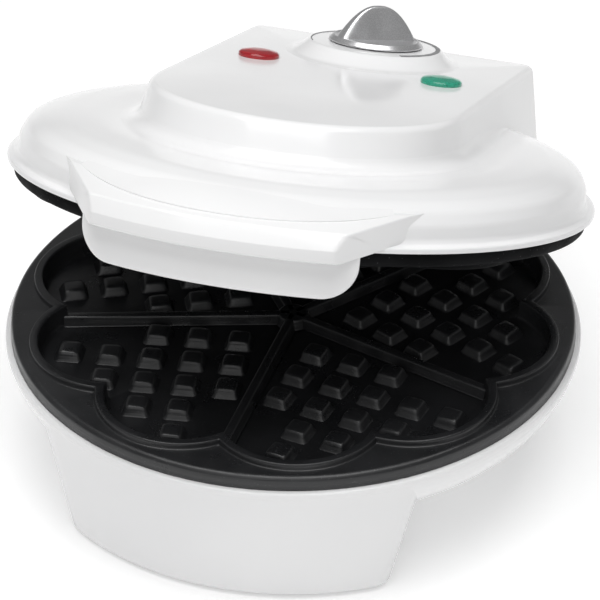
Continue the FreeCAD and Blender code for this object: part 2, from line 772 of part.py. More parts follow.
cover_body = new_body("cover_body")
cover_sketch = pedestal_section(sketch_on(cover_body, "XY_Plane", cover_low), d.foot_edge, d.wall + d.slack)
padded(cover_body, cover_sketch, d.cover_thickness)
pad_spots = corner_spots(d.pad_across, d.pad_along)
cover_holes = [(x, y, d.cover_screw_radius + d.slack) for x, y in cover_spots]
cover_holes += [(x, y, d.stud_radius + d.running) for x, y in pad_spots]
pocketed(cover_body, circles(sketch_on(cover_body, "XY_Plane", cover_top), cover_holes), d.cover_thickness)
finished(cover_body, "base_cover", BASE)

pads = []
for x, y in pad_spots:
    pad_foot = cone("pad_foot", d.pad_radius - 0.8, d.pad_radius, cover_low, (x, y, 0))
    pad_stud = cylinder("pad_stud", d.stud_radius, d.cover_thickness + 1.2, (x, y, cover_low))
    pad_knob = cone("pad_knob", d.stud_radius + 0.6, d.stud_radius - 0.6, 1.6, (x, y, cover_top + 0.1))
    pads.append(fused("pad", [pad_foot, pad_stud, pad_knob]))
finished(grouped("pads", pads), "rubber_feet", BASE)

floor_screws = [screw("floor_screw", d.cover_screw_radius, d.cover_screw_length, (x, y, cover_low))
                for x, y in cover_spots]
finished(grouped("floor_screws", floor_screws), "cover_screws", BASE)
long_shank = d.plate_height + reflector_top + d.screw_grip - d.bowl_floor
long_screws = [screw("long_screw", d.screw_radius, long_shank, (x, y, d.bowl_floor)) for x, y in boss_spots]
finished(grouped("long_screws", long_screws), "lower_plate_screws", BASE)

# Hinge rod and its rings

clip_gap = d.slack + d.running
groove_radius = d.rod_radius * 0.8
rod_half = ear_outer + clip_gap + d.clip_thickness * 2.0
rod_grooves, clips = [], []
for start in (ear_outer + clip_gap, -ear_outer - clip_gap - d.clip_thickness):
    spot = (start, d.hinge_back, hinge_height)
    before = (start - d.clip_thickness, d.hinge_back, hinge_height)
    core_length = d.clip_thickness * 3.0
    disc = cylinder("groove_disc", d.rod_radius * 2.0, d.clip_thickness + d.running, spot, ALONG_X)
    core = cylinder("groove_core", groove_radius, core_length, before, ALONG_X)
    rod_grooves.append(less("rod_groove", disc, [core]))
    mouth = block("clip_mouth", core_length, groove_radius, d.rod_radius * 3.0,
                  (start - d.clip_thickness, d.hinge_back - groove_radius / 2, hinge_height))
    clip_disc = cylinder("clip_disc", d.rod_radius * 1.8, d.clip_thickness, spot, ALONG_X)
    clip_hole = cylinder("clip_hole", groove_radius + d.running / 5, core_length, before, ALONG_X)
    clips.append(less("clip", clip_disc, [clip_hole, mouth]))
rod_bar = cylinder("rod_bar", d.rod_radius, rod_half * 2.0, (-rod_half, d.hinge_back, hinge_height), ALONG_X)
finished(less("rod", rod_bar, rod_grooves), "hinge_rod", BASE)
finished(grouped("clips", clips), "hinge_clips", BASE)

# Electrics of the base

gland_flange = d.gland_radius + 2.4
gland_barb = d.gland_radius + 0.8
gland_out = d.foot_radius + (d.gland_height + gland_flange - d.foot_edge) * d.foot_rake + d.running
gland_in = d.foot_radius + (d.gland_height - gland_barb - d.foot_edge) * d.foot_rake - d.wall - d.slack * 2.0
flange_width, barb_width = 2.2, 1.6
gland_blank = fused("gland_blank", [
    cylinder("gland_body", d.gland_radius, gland_out - gland_in, (0, gland_in, d.gland_height), ALONG_Y),
    cylinder("gland_flange", gland_flange, flange_width, (0, gland_out, d.gland_height), ALONG_Y),
    cylinder("gland_barb", gland_barb, barb_width, (0, gland_in - barb_width, d.gland_height), ALONG_Y),
])
gland_bore = cylinder("gland_bore", d.cord_radius, (gland_out - gland_in) * 4.0,
                      (0, gland_in * 2.0 - gland_out, d.gland_height), ALONG_Y)
gland = less("gland", gland_blank, [gland_bore])
finished(gland, "cord_gland", BASE)

block_spot = (-d.block_length / 2, terminal_back - d.block_width / 2, cover_top)
ways = []
for side in (-1.0, 0.0, 1.0):
    way = terminal_across * side
    ways.append(cylinder("way_bore", d.lead_radius + d.slack, d.block_width * 2.0,
                         (way, terminal_back - d.block_width, cover_top + d.block_height * 0.4), ALONG_Y))
    ways.append(cylinder("way_screw", d.lead_radius * 1.6, d.block_height * 0.3,
                         (way, terminal_back - d.block_width / 4, cover_top + d.block_height * 0.8)))
blank = block("terminal_blank", d.block_length, d.block_width, d.block_height, block_spot)
finished(less("terminal", blank, ways), "terminal_block", BASE)

fuse_radius, fuse_length, fuse_lead = 2.2, 13.0, 0.5
strap_length, strap_width, strap_thickness = 14.0, 4.0, 0.6
fuse_height = post_top - fuse_radius
finished(fused("cutout", [
    cylinder("cutout_body", fuse_radius, fuse_length, (-fuse_length / 2, 0, fuse_height), ALONG_X),
    cylinder("cutout_lead", fuse_lead, fuse_length * 2, (-fuse_length, 0, fuse_height), ALONG_X),
    block("cutout_strap", strap_width, strap_length, strap_thickness,
          (-strap_width / 2, -strap_length / 2, post_top - strap_thickness)),
]), "thermal_fuse", BASE)


lead_gap = 0.1
lower_end = d.plate_height + element_height - d.terminal_length - lead_gap
block_top = cover_top + d.block_height
lower_leads = [cylinder("lower_lead", d.lead_radius, lower_end - block_top,
                        (terminal_across * side, terminal_back, block_top)) for side in (-1.0, 1.0)]
finished(grouped("lower_leads", lower_leads), "base_wiring", BASE)

# Lid shell

roll_top = lid_low + d.roll_height
shoulder = roll_top + d.shoulder_rise
dome_high = shoulder + d.dome_rise
fall = (dome_high - shoulder) / (d.dome_radius - 3.0 - d.dome_middle)
crown = dome_high + fall * d.dome_middle * 0.3
lid_bead = 1.2
catch_low, catch_tall, catch_deep = 2.8, 1.4, 1.2
dome_form = revolved("dome_form", [
    (0, lid_low),
    (d.rim_radius - lid_bead, lid_low, lid_bead, 1),
    (d.rim_radius, lid_low + lid_bead),
    (d.rim_radius, lid_low + 2.4, 8.0, 1),
    (d.dome_radius + 0.5, roll_top - 0.3),
    (d.dome_radius, roll_top),
    (d.dome_radius, shoulder - 3.0, 3.2, 1),
    (d.dome_radius - 3.0, shoulder),
    (d.dome_middle, dome_high),
    (0, crown),
])
dome_space = revolved("dome_space", [
    (0, lid_low - 1.0),
    (d.rim_inner, lid_low - 1.0),
    (d.rim_inner, lid_low + catch_low),
    (d.rim_inner + catch_deep, lid_low + catch_low),
    (d.rim_inner + catch_deep, lid_low + catch_low + catch_tall),
    (d.rim_inner, lid_low + catch_low + catch_tall),
    (d.rim_inner, shoulder - 4.6),
    (d.dome_radius - 5.6, shoulder - d.wall),
    (d.dome_middle - 0.4, dome_high - d.wall),
    (0, crown - d.wall),
])


def box_section(sketch, height, inset):
    """Straight sides, round front and rounded back corners, widening downwards."""
    depth = d.panel_height - height
    half = d.box_half + depth * d.box_draft - inset
    nose = d.box_nose - depth * d.nose_draft
    back = d.box_back - inset
    corner = d.box_corner - inset
    return outline(sketch, [
        (0, nose - half, half, 1),
        (half, nose),
        (half, back - corner, corner, 1),
        (half - corner, back),
        (corner - half, back, corner, 1),
        (-half, back - corner),
        (-half, nose, half, 1),
    ])


box_form = lofted("box_form", box_section, [
    (d.box_skirt, 0),
    (d.panel_height - d.panel_fillet, 0),
    (d.panel_height - d.panel_fillet * 0.3, d.panel_fillet * 0.3),
    (d.panel_height, d.panel_fillet),
])
box_space = lofted("box_space", box_section, [(roll_top, d.wall), (d.panel_height - d.wall, d.wall)])
pocket_form = lofted("pocket_form", box_section, [(d.box_skirt - 2.0, d.wall), (roll_top + 0.5, d.wall)])
pocket_core = cylinder("pocket_core", d.rim_radius + d.slack, 30.0, (0, 0, d.box_skirt - 10.0))
pocket_space = less("pocket_space", pocket_form, [pocket_core])

# Grip: a turned profile between two slanting ends, with a tongue that hangs below the lip

visor_ring = revolved("visor_ring", [
    (d.rim_inner - 3.0, lid_low + 1.0),
    (d.rim_radius - 0.4, lid_low + 1.0),
    (d.rim_radius + 0.4, d.lip_low),
    (d.lip_radius - 0.8, d.lip_low, 0.8, 1),
    (d.lip_radius, d.lip_low + 0.8),
    (d.lip_radius, d.lip_high - 0.6),
    (d.lip_radius - 0.4, d.lip_high),
    (d.brow_radius + 0.3, d.brow_height - d.brow_step - 0.6),
    (d.brow_radius, d.brow_height),
    (d.dome_radius - 3.0, shoulder),
    (d.rim_inner - 3.0, shoulder - 1.0),
])
tongue_ring = revolved("tongue_ring", [
    (d.tongue_back, d.lip_low + 1.0),
    (d.tongue_back, d.tongue_low + 0.6),
    (d.tongue_back + 0.6, d.tongue_low),
    (d.tongue_front - 0.8, d.tongue_low, 0.8, 1),
    (d.tongue_front, d.tongue_low + 0.8),
    (d.tongue_front + 0.9, d.lip_low),
    (d.tongue_front + 0.9, d.lip_low + 1.0),
])
lip_along = root(d.lip_radius * d.lip_radius - d.lip_half * d.lip_half)
slant = (d.grip_end_across - d.lip_half) / (lip_along - d.grip_end_along)
plan_front = d.lip_radius + 3.0
plan_back = d.grip_end_along - 14.0
front_half = d.lip_half - slant * (plan_front - lip_along)
back_half = d.lip_half + slant * (lip_along - plan_back)
plan_body = new_body("grip_plan")
padded(plan_body, outline(sketch_on(plan_body, "XY_Plane", d.tongue_low - 2.0), [
    (-front_half, -plan_front),
    (front_half, -plan_front),
    (back_half, -plan_back),
    (-back_half, -plan_back),
]), shoulder - d.tongue_low + 6.0)
face_body = new_body("grip_face")
padded(face_body, outline(sketch_on(face_body, "XZ_Plane"), [
    (d.tongue_corner - d.tongue_half, d.tongue_low),
    (d.tongue_half - d.tongue_corner, d.tongue_low, d.tongue_corner, 1),
    (d.tongue_half, d.tongue_low + d.tongue_corner),
    (d.tongue_half, d.lip_low + 3.0),
    (-d.tongue_half, d.lip_low + 3.0),
    (-d.tongue_half, d.tongue_low + d.tongue_corner, d.tongue_corner, 1),
]), plan_front)
visor = shared("visor", [visor_ring, plan_body])
tongue = shared("tongue", [tongue_ring, plan_body, face_body])

# Dial mound, hinge ears and holes of the lid

mound_face = d.panel_height + d.mound_height
mound = cone("mound", d.mound_base, d.mound_top, d.mound_height, (0, d.dial_back, d.panel_height))
mound_space = cone("mound_space", d.mound_base - d.wall, d.mound_top - d.wall, d.mound_height,
                   (0, d.dial_back, d.panel_height - d.wall))
ear_body = new_body("ear_form")
ear_sketch = outline(sketch_on(ear_body, "YZ_Plane", ear_inner), [
    (d.hinge_back - d.knuckle_radius, hinge_height, d.knuckle_radius, 1),
    (d.hinge_back, hinge_height - d.knuckle_radius, d.knuckle_radius, 1),
    (d.hinge_back + d.knuckle_radius, hinge_height),
    (d.hinge_back + d.knuckle_radius, d.panel_height - 1.0),
    (d.hinge_back - d.knuckle_radius + 4.0, d.panel_height - 1.0),
    (d.hinge_back - d.knuckle_radius + 4.0, d.box_skirt + 6.0),
])
mirrored(ear_body, padded(ear_body, ear_sketch, d.ear_width))
bush_radius = d.rod_radius + d.running + d.bush_wall
lamp_spots = [(d.lamp_across * side, d.lamp_back) for side in (-1.0, 1.0)]
fix_across = d.switch_half - d.fix_radius - 1.1
fix_spots = [(fix_across * side, d.dial_back) for side in (-1.0, 1.0)]
lid_holes = [cylinder("bush_hole", bush_radius + d.running, d.rim_radius * 2,
                      (-d.rim_radius, d.hinge_back, hinge_height), ALONG_X)]
lid_holes.append(cylinder("neck_hole", d.shaft_radius + 2.2, 20.0, (0, d.dial_back, mound_face - 8.0)))
lid_holes += [cylinder("stem_hole", d.stem_radius + d.running, 20.0, (x, y, d.panel_height - 10.0))
              for x, y in lamp_spots]
for x, y in fix_spots:
    lid_holes.append(cylinder("fix_hole", d.fix_radius + d.slack, 20.0, (x, y, mound_face - 8.0)))
    lid_holes.append(cylinder("fix_seat", d.fix_radius + 1.6, 10.0, (x, y, mound_face - d.fix_head)))
seat_disc = cylinder("seat_disc", d.ring_outer + d.running, d.band_depth * 4.0,
                     (0, d.dial_back, mound_face - d.band_depth))
seat_core = cylinder("seat_core", d.ring_inner - d.running, d.band_depth * 8.0,
                     (0, d.dial_back, mound_face - d.band_depth * 4.0))
ring_seat = less("ring_seat", seat_disc, [seat_core])
lid_hull = less("lid_hull", fused("lid_forms", [dome_form, box_form, visor, tongue, mound]),
                [dome_space, box_space, pocket_space, mound_space])
lid_shell = less("lid_moulding", fused("lid_ears", [lid_hull, ear_body]), lid_holes + [ring_seat])
finished(lid_shell, "lid_shell", LID)

# Hinge bushes and plate clips

bushes = []
for start in (ear_inner, -ear_outer):
    sleeve = cylinder("bush_sleeve", bush_radius, d.ear_width, (start, d.hinge_back, hinge_height), ALONG_X)
    bore = cylinder("bush_bore", d.rod_radius + d.running, d.ear_width * 3.0,
                    (start - d.ear_width, d.hinge_back, hinge_height), ALONG_X)
    bushes.append(less("bush", sleeve, [bore]))
finished(grouped("bushes", bushes), "hinge_bushes", LID)

clip_wide = 10.0
clip_spring = 0.6
hook_start = d.back_radius + 0.02
hooks = []
for angle in (45.0, 135.0, 225.0, 315.0):
    leg = block("hook_leg", clip_spring, clip_wide, catch_low + 1.0,
                (hook_start, -clip_wide / 2, lid_low + 0.1))
    foot = block("hook_foot", d.rim_inner + catch_deep * 0.6 - hook_start, clip_wide, clip_spring,
                 (hook_start, -clip_wide / 2, lid_low + catch_low + 0.5))
    hook = fused("hook", [leg, foot])
    hook.Placement = FreeCAD.Placement(V(), FreeCAD.Rotation(V(0, 0, 1), angle))
    hooks.append(hook)
finished(grouped("hooks", hooks), "plate_clips", LID)

short_screws = []
for x, y in boss_spots:
    short_shank = d.screw_grip + d.sheet_thickness
    short_screws.append(screw("short_screw", d.screw_radius, short_shank, (x, y, reflector_low)))
finished(grouped("short_screws", short_screws), "reflector_screws", UPPER)

# Lamps


def make_lens(name, x, y):
    """A low domed lens with a hollow stem through the panel."""
    bulge = (d.lens_radius * d.lens_radius + d.lens_height * d.lens_height) / (d.lens_height * 2.0)
    body = revolved(name, [
        (d.stem_radius - d.stem_wall, -d.stem_length),
        (d.stem_radius, -d.stem_length),
        (d.stem_radius, 0),
        (d.lens_radius, 0),
        (d.lens_radius, 0.5, bulge, 1),
        (0, d.lens_height + 0.5),
        (0, -0.6),
        (d.stem_radius - d.stem_wall, -0.6),
    ])
    return body, FreeCAD.Placement(V(x.value, y.value, d.panel_height.value), UPRIGHT)


bulb_length = d.stem_length - 2.0
bulb_radius = d.stem_radius - d.stem_wall * 2.0
collars = []
for colour, (x, y) in zip(("red", "green"), lamp_spots):
    lens, spot = make_lens(colour + "_window", x, y)
    finished(lens, colour + "_lens", LID * spot)
    lamp_low = d.panel_height - d.stem_length - 1.0
    plug = cylinder(colour + "_plug", d.stem_radius - d.stem_wall - d.running / 2, 2.5, (x, y, lamp_low))
    bulb = cylinder(colour + "_bulb", bulb_radius, bulb_length, (x, y, lamp_low + 0.5))
    tip = doc.addObject("Part::Sphere", colour + "_tip")
    bind(tip, "Radius", bulb_radius * 0.7)
    set_back(tip, (x, y, lamp_low + bulb_length - 0.5))
    legs = [cylinder(colour + "_leg", 0.4, 4.0, (x + bulb_radius * half, y, lamp_low - 3.4))
            for half in (-0.5, 0.5)]
    finished(fused(colour + "_neon", [plug, bulb, tip] + legs), colour + "_lamp", LID)
    collar_low = d.panel_height - d.wall - 1.05
    collar_disc = cylinder("collar_disc", d.stem_radius + 2.2, 1.0, (x, y, collar_low))
    collar_hole = cylinder("collar_hole", d.stem_radius + d.running / 2, 4.0, (x, y, collar_low - 1.5))
    collars.append(less("collar", collar_disc, [collar_hole]))
finished(grouped("collars", collars), "lamp_collars", LID)

# Thermostat with its probe, screws and leads

switch_top = mound_face - d.wall - d.running
switch_low = switch_top - d.switch_depth
neck_top = mound_face - 0.3
switch = fused("switch_blank", [
    block("switch_case", d.switch_half * 2.0, d.switch_half * 2.0, d.switch_depth,
          (-d.switch_half, d.dial_back - d.switch_half, switch_low)),
    cylinder("switch_neck", d.shaft_radius + 2.0, neck_top - switch_low, (0, d.dial_back, switch_low)),
])
shaft_low = switch_low + 3.0
switch_holes = [cylinder("shaft_hole", d.shaft_radius + d.running, 30.0, (0, d.dial_back, shaft_low - 0.2))]
switch_holes += [cylinder("fix_thread", d.fix_radius + d.running, d.fix_length * 2.0,
                          (x, y, switch_top - d.fix_length)) for x, y in fix_spots]
finished(less("switch", switch, switch_holes), "thermostat_body", LID)

probe_low = lid_face + d.plate_depth
probe_back = d.back_radius - d.probe_radius - 3.8
finished(fused("probe", [
    cylinder("probe_rod", d.probe_radius, switch_low - probe_low, (0, probe_back, probe_low)),
    cylinder("probe_foot", d.probe_radius + 1.2, 1.2, (0, probe_back, probe_low)),
]), "thermostat_probe", LID)

caps = []
for x, y in fix_spots:
    cap = cylinder("fix_cap", d.fix_radius + 1.3, d.fix_head - 0.2, (x, y, mound_face - d.fix_head))
    pin = cylinder("fix_pin", d.fix_radius, d.fix_length, (x, y, mound_face - d.fix_head - d.fix_length))
    slot = block("fix_slot", 3.6, 0.7, 0.6, (x - 1.8, y - 0.35, mound_face - 0.8))
    caps.append(less("fix_screw", fused("fix_blank", [cap, pin]), [slot]))
finished(grouped("fix_screws", caps), "thermostat_screws", LID)


def make_leads(name, start, bend, stop, mouth):
    """Two leads that rise from start, bend once and run level to stop."""
    body = new_body(name)
    path = outline(sketch_on(body, "YZ_Plane", terminal_across), [start, bend, stop], closed=False)
    end = circles(sketch_on(body, "XY_Plane", start[1]), [(terminal_across, start[0], mouth)])
    doc.recompute()
    pipe = body.newObject("PartDesign::AdditivePipe", name + "_pipe")
    pipe.Profile = end
    pipe.Spine = (path, ["Edge1", "Edge2"])
    pipe.Transition = "Round corner"
    doc.recompute()
    mirrored(body, pipe)
    return body


upper_end = lid_face - element_height + d.terminal_length + lead_gap
lead_height = switch_low + d.lead_radius * 3.0
switch_front = d.dial_back - d.switch_half - lead_gap
upper_leads = make_leads("upper_leads", (terminal_back, upper_end), (terminal_back, lead_height),
                         (switch_front, lead_height), d.lead_radius)
finished(upper_leads, "lid_wiring", LID)

band_disc = cylinder("band_disc", d.ring_outer, d.band_depth + 0.2,
                     (0, d.dial_back, mound_face - d.band_depth))
band_core = cylinder("band_core", d.ring_inner, d.band_depth * 8.0,
                     (0, d.dial_back, mound_face - d.band_depth * 4.0))
band = less("band", band_disc, [band_core])
finished(band, "dial_ring", LID)

# Knob, shaft and spring

knob_low = mound_face + d.knob_lift
knob_disc = revolved("knob_disc", [
    (0, 0),
    (d.knob_radius - 0.3, 0),
    (d.knob_radius, 0.3),
    (d.knob_radius, d.knob_disc - d.knob_bevel),
    (d.knob_radius - d.knob_bevel, d.knob_disc),
    (0, d.knob_disc),
])

# The fin is a bow seen from its broad side and a wedge seen from its end, turned away from X

fin_low = d.knob_disc - 0.6
fin_top = d.knob_disc + d.fin_rise
fin_quarter = (fin_top - fin_low) / 4.0
fin_flank = d.fin_half * 2.55
fin_crown = (d.fin_half * d.fin_half / 4.0 + fin_quarter * fin_quarter) / (fin_quarter * 2.0)
fin_bow = new_body("fin_bow")
padded(fin_bow, outline(sketch_on(fin_bow, "XZ_Plane", -d.fin_half), [
    (d.fin_half, fin_low, fin_flank, 1),
    (d.fin_half / 2.0, fin_top - fin_quarter, fin_crown, 1),
    (d.fin_half / -2.0, fin_top - fin_quarter, fin_flank, 1),
    (-d.fin_half, fin_low),
]), d.fin_half * 2.0)
fin_wedge = new_body("fin_wedge")
padded(fin_wedge, outline(sketch_on(fin_wedge, "YZ_Plane", d.fin_half * -1.5), [
    (-d.fin_foot, fin_low),
    (d.fin_foot, fin_low),
    (d.fin_tip, fin_top + 0.1),
    (-d.fin_tip, fin_top + 0.1),
]), d.fin_half * 3.0)
fin = shared("fin", [fin_bow, fin_wedge])
fin.Placement = FreeCAD.Placement(V(), FreeCAD.Rotation(V(0, 0, 1), 41.0))
spring_seat = d.knob_disc - 0.4
spring_wall = 1.1
knob = less("knob", fused("knob_blank", [knob_disc, fin]), [
    cylinder("knob_bore", d.shaft_radius + d.running, d.shaft_reach + 0.3, (0, 0, -0.1)),
    cylinder("knob_seat", d.shaft_radius + spring_wall + 0.1, spring_seat + 0.1, (0, 0, -0.1)),
])
DIAL = LID * FreeCAD.Placement(V(0, d.dial_back.value, knob_low.value), UPRIGHT)
finished(knob, "thermostat_knob", DIAL)
shaft_length = knob_low + d.shaft_reach - shaft_low
shaft_bar = cylinder("shaft_bar", d.shaft_radius, shaft_length, (0, 0, shaft_low - knob_low))
shaft_flat = block("shaft_flat", d.shaft_radius * 2.0, d.shaft_radius, d.shaft_reach,
                   (-d.shaft_radius, d.shaft_radius * 0.6, spring_seat))
finished(less("shaft", shaft_bar, [shaft_flat]), "thermostat_shaft", DIAL)
spring_disc = cylinder("spring_disc", d.shaft_radius + spring_wall, spring_seat - 0.2, (0, 0, 0.1))
spring = less("spring", spring_disc, [
    cylinder("spring_hole", d.shaft_radius + d.running / 2, d.knob_disc * 3.0, (0, 0, -d.knob_disc)),
    block("spring_gap", d.shaft_radius * 2.0, spring_wall, d.knob_disc * 3.0,
          (0, -spring_wall / 2, -d.knob_disc)),
])
finished(spring, "knob_spring", DIAL)

# Check everything, then write one file for each piece

doc.recompute()
for thing in doc.Objects:
    if "Invalid" in thing.State or "Error" in thing.State:
        raise RuntimeError("%s (%s) did not build: %s" % (thing.Name, thing.Label, thing.State))
for piece in nodes:
    shape = piece.Shape
    if shape.isNull() or not shape.isValid() or not shape.Solids:
        raise RuntimeError("%s has no sound solid" % piece.Label)
for piece in nodes:
    piece.Shape.exportStep("parts/%s.step" % piece.Label)
    print("%-20s %d solids, volume %.0f" % (piece.Label, len(piece.Shape.Solids), piece.Shape.Volume))
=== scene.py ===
# %% [markdown]
# A round waffle maker, dressed in Blender.
# The solids come packed as a fixed frame: every piece is already where it belongs, in metres.
# This lesson puts finer skins over the pieces that show, gives every piece a finish, and lights
# the scene. A skin that stands for a solid keeps its place, so the hinge and the dial still work.

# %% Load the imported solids
import json
import math

import bmesh
import bpy
import numpy as np
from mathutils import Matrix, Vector


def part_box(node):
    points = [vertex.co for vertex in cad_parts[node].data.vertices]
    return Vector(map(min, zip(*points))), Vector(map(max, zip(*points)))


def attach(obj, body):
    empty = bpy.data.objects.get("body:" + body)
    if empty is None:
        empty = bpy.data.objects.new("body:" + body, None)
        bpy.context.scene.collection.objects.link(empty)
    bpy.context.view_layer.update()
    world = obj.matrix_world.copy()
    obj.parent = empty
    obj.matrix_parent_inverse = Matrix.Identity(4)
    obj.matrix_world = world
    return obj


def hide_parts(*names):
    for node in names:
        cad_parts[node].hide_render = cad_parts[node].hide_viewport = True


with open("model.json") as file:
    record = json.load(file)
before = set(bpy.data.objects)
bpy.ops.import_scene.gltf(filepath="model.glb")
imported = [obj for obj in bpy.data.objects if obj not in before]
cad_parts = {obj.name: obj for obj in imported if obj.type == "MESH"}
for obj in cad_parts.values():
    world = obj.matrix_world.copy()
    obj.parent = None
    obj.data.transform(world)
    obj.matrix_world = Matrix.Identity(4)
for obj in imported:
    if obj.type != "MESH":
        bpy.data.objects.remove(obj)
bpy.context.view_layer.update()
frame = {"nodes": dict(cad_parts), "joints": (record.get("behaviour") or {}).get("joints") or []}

# %% [markdown]
# The view.
# The camera comes first, because it decides which details are worth making. It stands in front,
# a little to the right and well above, with a long lens, so that circles turn into even ellipses.

# %% Camera
VIEW_FROM = (0.26959, -0.8932, 0.67452)
VIEW_AT = (0.00164, -0.01102, 0.05223)
VIEW_LENS, VIEW_SENSOR = 202.7, 36.0


def aimed(spot, at):
    """The turn that points an object's -Z axis from its spot at a target."""
    return (Vector(at) - Vector(spot)).to_track_quat("-Z", "Y").to_euler()


camera_data = bpy.data.cameras.new("view_camera")
camera_data.lens = VIEW_LENS
camera_data.sensor_width = VIEW_SENSOR
camera = bpy.data.objects.new("view_camera", camera_data)
camera.location = VIEW_FROM
camera.rotation_euler = aimed(VIEW_FROM, VIEW_AT)
bpy.context.scene.collection.objects.link(camera)
bpy.context.scene.camera = camera
print("camera", camera.location)

# %% [markdown]
# Two places to work in.
# Shapes are easiest to think of with the lid shut and the plates' axis at zero, in millimetres.
# Two small functions then carry points to where the frame has them: base pieces are only shifted,
# and lid pieces are also turned about the hinge, by the angle that the hinge itself reports.

# %% From the bench to the frame
MM = 0.001
hinge = next(joint for joint in frame["joints"] if joint["name"] == "lid_hinge")
HINGE = np.array(hinge["pos_m"]) / MM
OPEN_ANGLE = math.radians(-hinge["range_deg"][0])
plate_low, plate_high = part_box("lower_plate")
AXIS = np.array([0.0, (plate_low.y + plate_high.y) / 2 / MM, 0.0])


def on_base(points):
    """Points of the base: shifted along Y by the plates' axis, then millimetres to metres."""
    return (points + AXIS) * MM


def on_lid(points):
    """Points of the lid: y' = y cos a + z sin a and z' = z cos a - y sin a about the hinge."""
    x, y, z = np.moveaxis(points + AXIS - HINGE, -1, 0)
    turned_y = y * math.cos(OPEN_ANGLE) + z * math.sin(OPEN_ANGLE)
    turned_z = z * math.cos(OPEN_ANGLE) - y * math.sin(OPEN_ANGLE)
    return (np.stack([x, turned_y, turned_z], -1) + HINGE) * MM


print("lid stands open by", round(math.degrees(OPEN_ANGLE), 1), "degrees; plates' axis at", AXIS)

# %% [markdown]
# Finishes.
# Every finish is made of nodes. Noise read at the object's own coordinates varies the colour and
# the gloss, and a second, finer noise lifts the surface by a few hundredths of a millimetre.
# A value that is the same all over is set on the shader itself.

# %% Helpers for finishes
NOISE_LOW, NOISE_HIGH, GLOSS_CLOUDS = 0.3, 0.7, 1.7


def new_finish(name):
    """An empty finish: its node tree, its shader and the object coordinates."""
    material = bpy.data.materials.new(name)
    material.use_nodes = True
    tree = material.node_tree
    place = tree.nodes.new("ShaderNodeTexCoord")
    return material, tree, tree.nodes["Principled BSDF"], place.outputs["Object"]


def grain(tree, place, scale, detail=2.0, stretch=(1.0, 1.0, 1.0)):
    """Cloudy noise with so many clouds to a metre, stretched along the axes."""
    mapping = tree.nodes.new("ShaderNodeMapping")
    mapping.inputs["Scale"].default_value = stretch
    noise = tree.nodes.new("ShaderNodeTexNoise")
    noise.inputs["Scale"].default_value = scale
    noise.inputs["Detail"].default_value = detail
    tree.links.new(place, mapping.inputs["Vector"])
    tree.links.new(mapping.outputs["Vector"], noise.inputs["Vector"])
    return noise.outputs["Fac"]


def cells(tree, place, scale):
    """Distance to scattered points, for flakes and specks."""
    voronoi = tree.nodes.new("ShaderNodeTexVoronoi")
    voronoi.inputs["Scale"].default_value = scale
    tree.links.new(place, voronoi.inputs["Vector"])
    return voronoi.outputs["Distance"]


def spread(tree, source, low, high, start=NOISE_LOW, stop=NOISE_HIGH, easing="SMOOTHSTEP"):
    """A value from start to stop, by default the noise's range, carried to low and high."""
    span = tree.nodes.new("ShaderNodeMapRange")
    span.interpolation_type = easing
    for socket, value in (("From Min", start), ("From Max", stop), ("To Min", low), ("To Max", high)):
        span.inputs[socket].default_value = value
    tree.links.new(source, span.inputs["Value"])
    return span.outputs["Result"]


def tint(tree, source, dark, light):
    """A colour that goes from dark to light with the noise."""
    ramp = tree.nodes.new("ShaderNodeValToRGB")
    ramp.color_ramp.interpolation = "EASE"
    stops = ((NOISE_LOW, dark), (NOISE_HIGH, light))
    for element, (position, colour) in zip(ramp.color_ramp.elements, stops):
        element.position = position
        element.color = (*colour, 1.0)
    tree.links.new(source, ramp.inputs["Fac"])
    return ramp.outputs["Color"]


def relief(tree, source, depth, under=None):
    """A bump of so many metres, laid over another one."""
    bump = tree.nodes.new("ShaderNodeBump")
    bump.inputs["Strength"].default_value = 1.0
    bump.inputs["Distance"].default_value = depth
    tree.links.new(source, bump.inputs["Height"])
    if under is not None:
        tree.links.new(under, bump.inputs["Normal"])
    return bump.outputs["Normal"]


def join(tree, shader, colour, rough, normal):
    """Colour, gloss and relief joined to the shader."""
    for socket, source in (("Base Color", colour), ("Roughness", rough), ("Normal", normal)):
        tree.links.new(source, shader.inputs[socket])


def dressed(name, dark, light, clouds, gloss, pores, depth, stretch=(1.0, 1.0, 1.0), **sockets):
    """A finish of one shader: cloudy colour, cloudy gloss and a fine relief."""
    material, tree, shader, place = new_finish(name)
    colour = tint(tree, grain(tree, place, clouds, 3.0, stretch), dark, light)
    rough = spread(tree, grain(tree, place, clouds * GLOSS_CLOUDS, 2.0, stretch), *gloss)
    normal = relief(tree, grain(tree, place, pores, 2.0, stretch), depth)
    join(tree, shader, colour, rough, normal)
    for socket, value in sockets.items():
        shader.inputs[socket.replace("_", " ")].default_value = value
    return material


print("finish helpers ready")

# %% [markdown]
# The housing is one glossy white moulding. Moulded walls are never quite flat, so a slow, shallow
# relief bends the reflections a little, and a fine one gives the skin its slight softness.

# %% White moulding


def white_moulding():
    """Near-white plastic with a slow waviness under a fine moulded skin."""
    material, tree, shader, place = new_finish("white_moulding")
    colour = tint(tree, grain(tree, place, 14.0), (0.83, 0.83, 0.835), (0.87, 0.87, 0.872))
    rough = spread(tree, grain(tree, place, 40.0), 0.11, 0.17)
    waves = relief(tree, grain(tree, place, 30.0, 1.0), 0.000015)
    pores = relief(tree, grain(tree, place, 1600.0), 0.000002, waves)
    join(tree, shader, colour, rough, pores)
    shader.inputs["IOR"].default_value = 1.5
    return material


WHITE = white_moulding()
print("finish", WHITE.name)

# %% [markdown]
# The plates are cast and then sprayed with a dark non-stick coat. The coat is pebbled by its
# filler, has tiny pale specks, and on the upright edge it keeps the flow marks of the casting,
# so a third noise is drawn out along the edge. Both plates have the same coat. The lower plate
# keeps the coat's own tone. The upper one is given a darker tone and a weaker shine, which is
# painted shade, because the upper plate lies in the shade of the lid's rim.

# %% Non-stick coat
SPECK_SIZE = 0.13


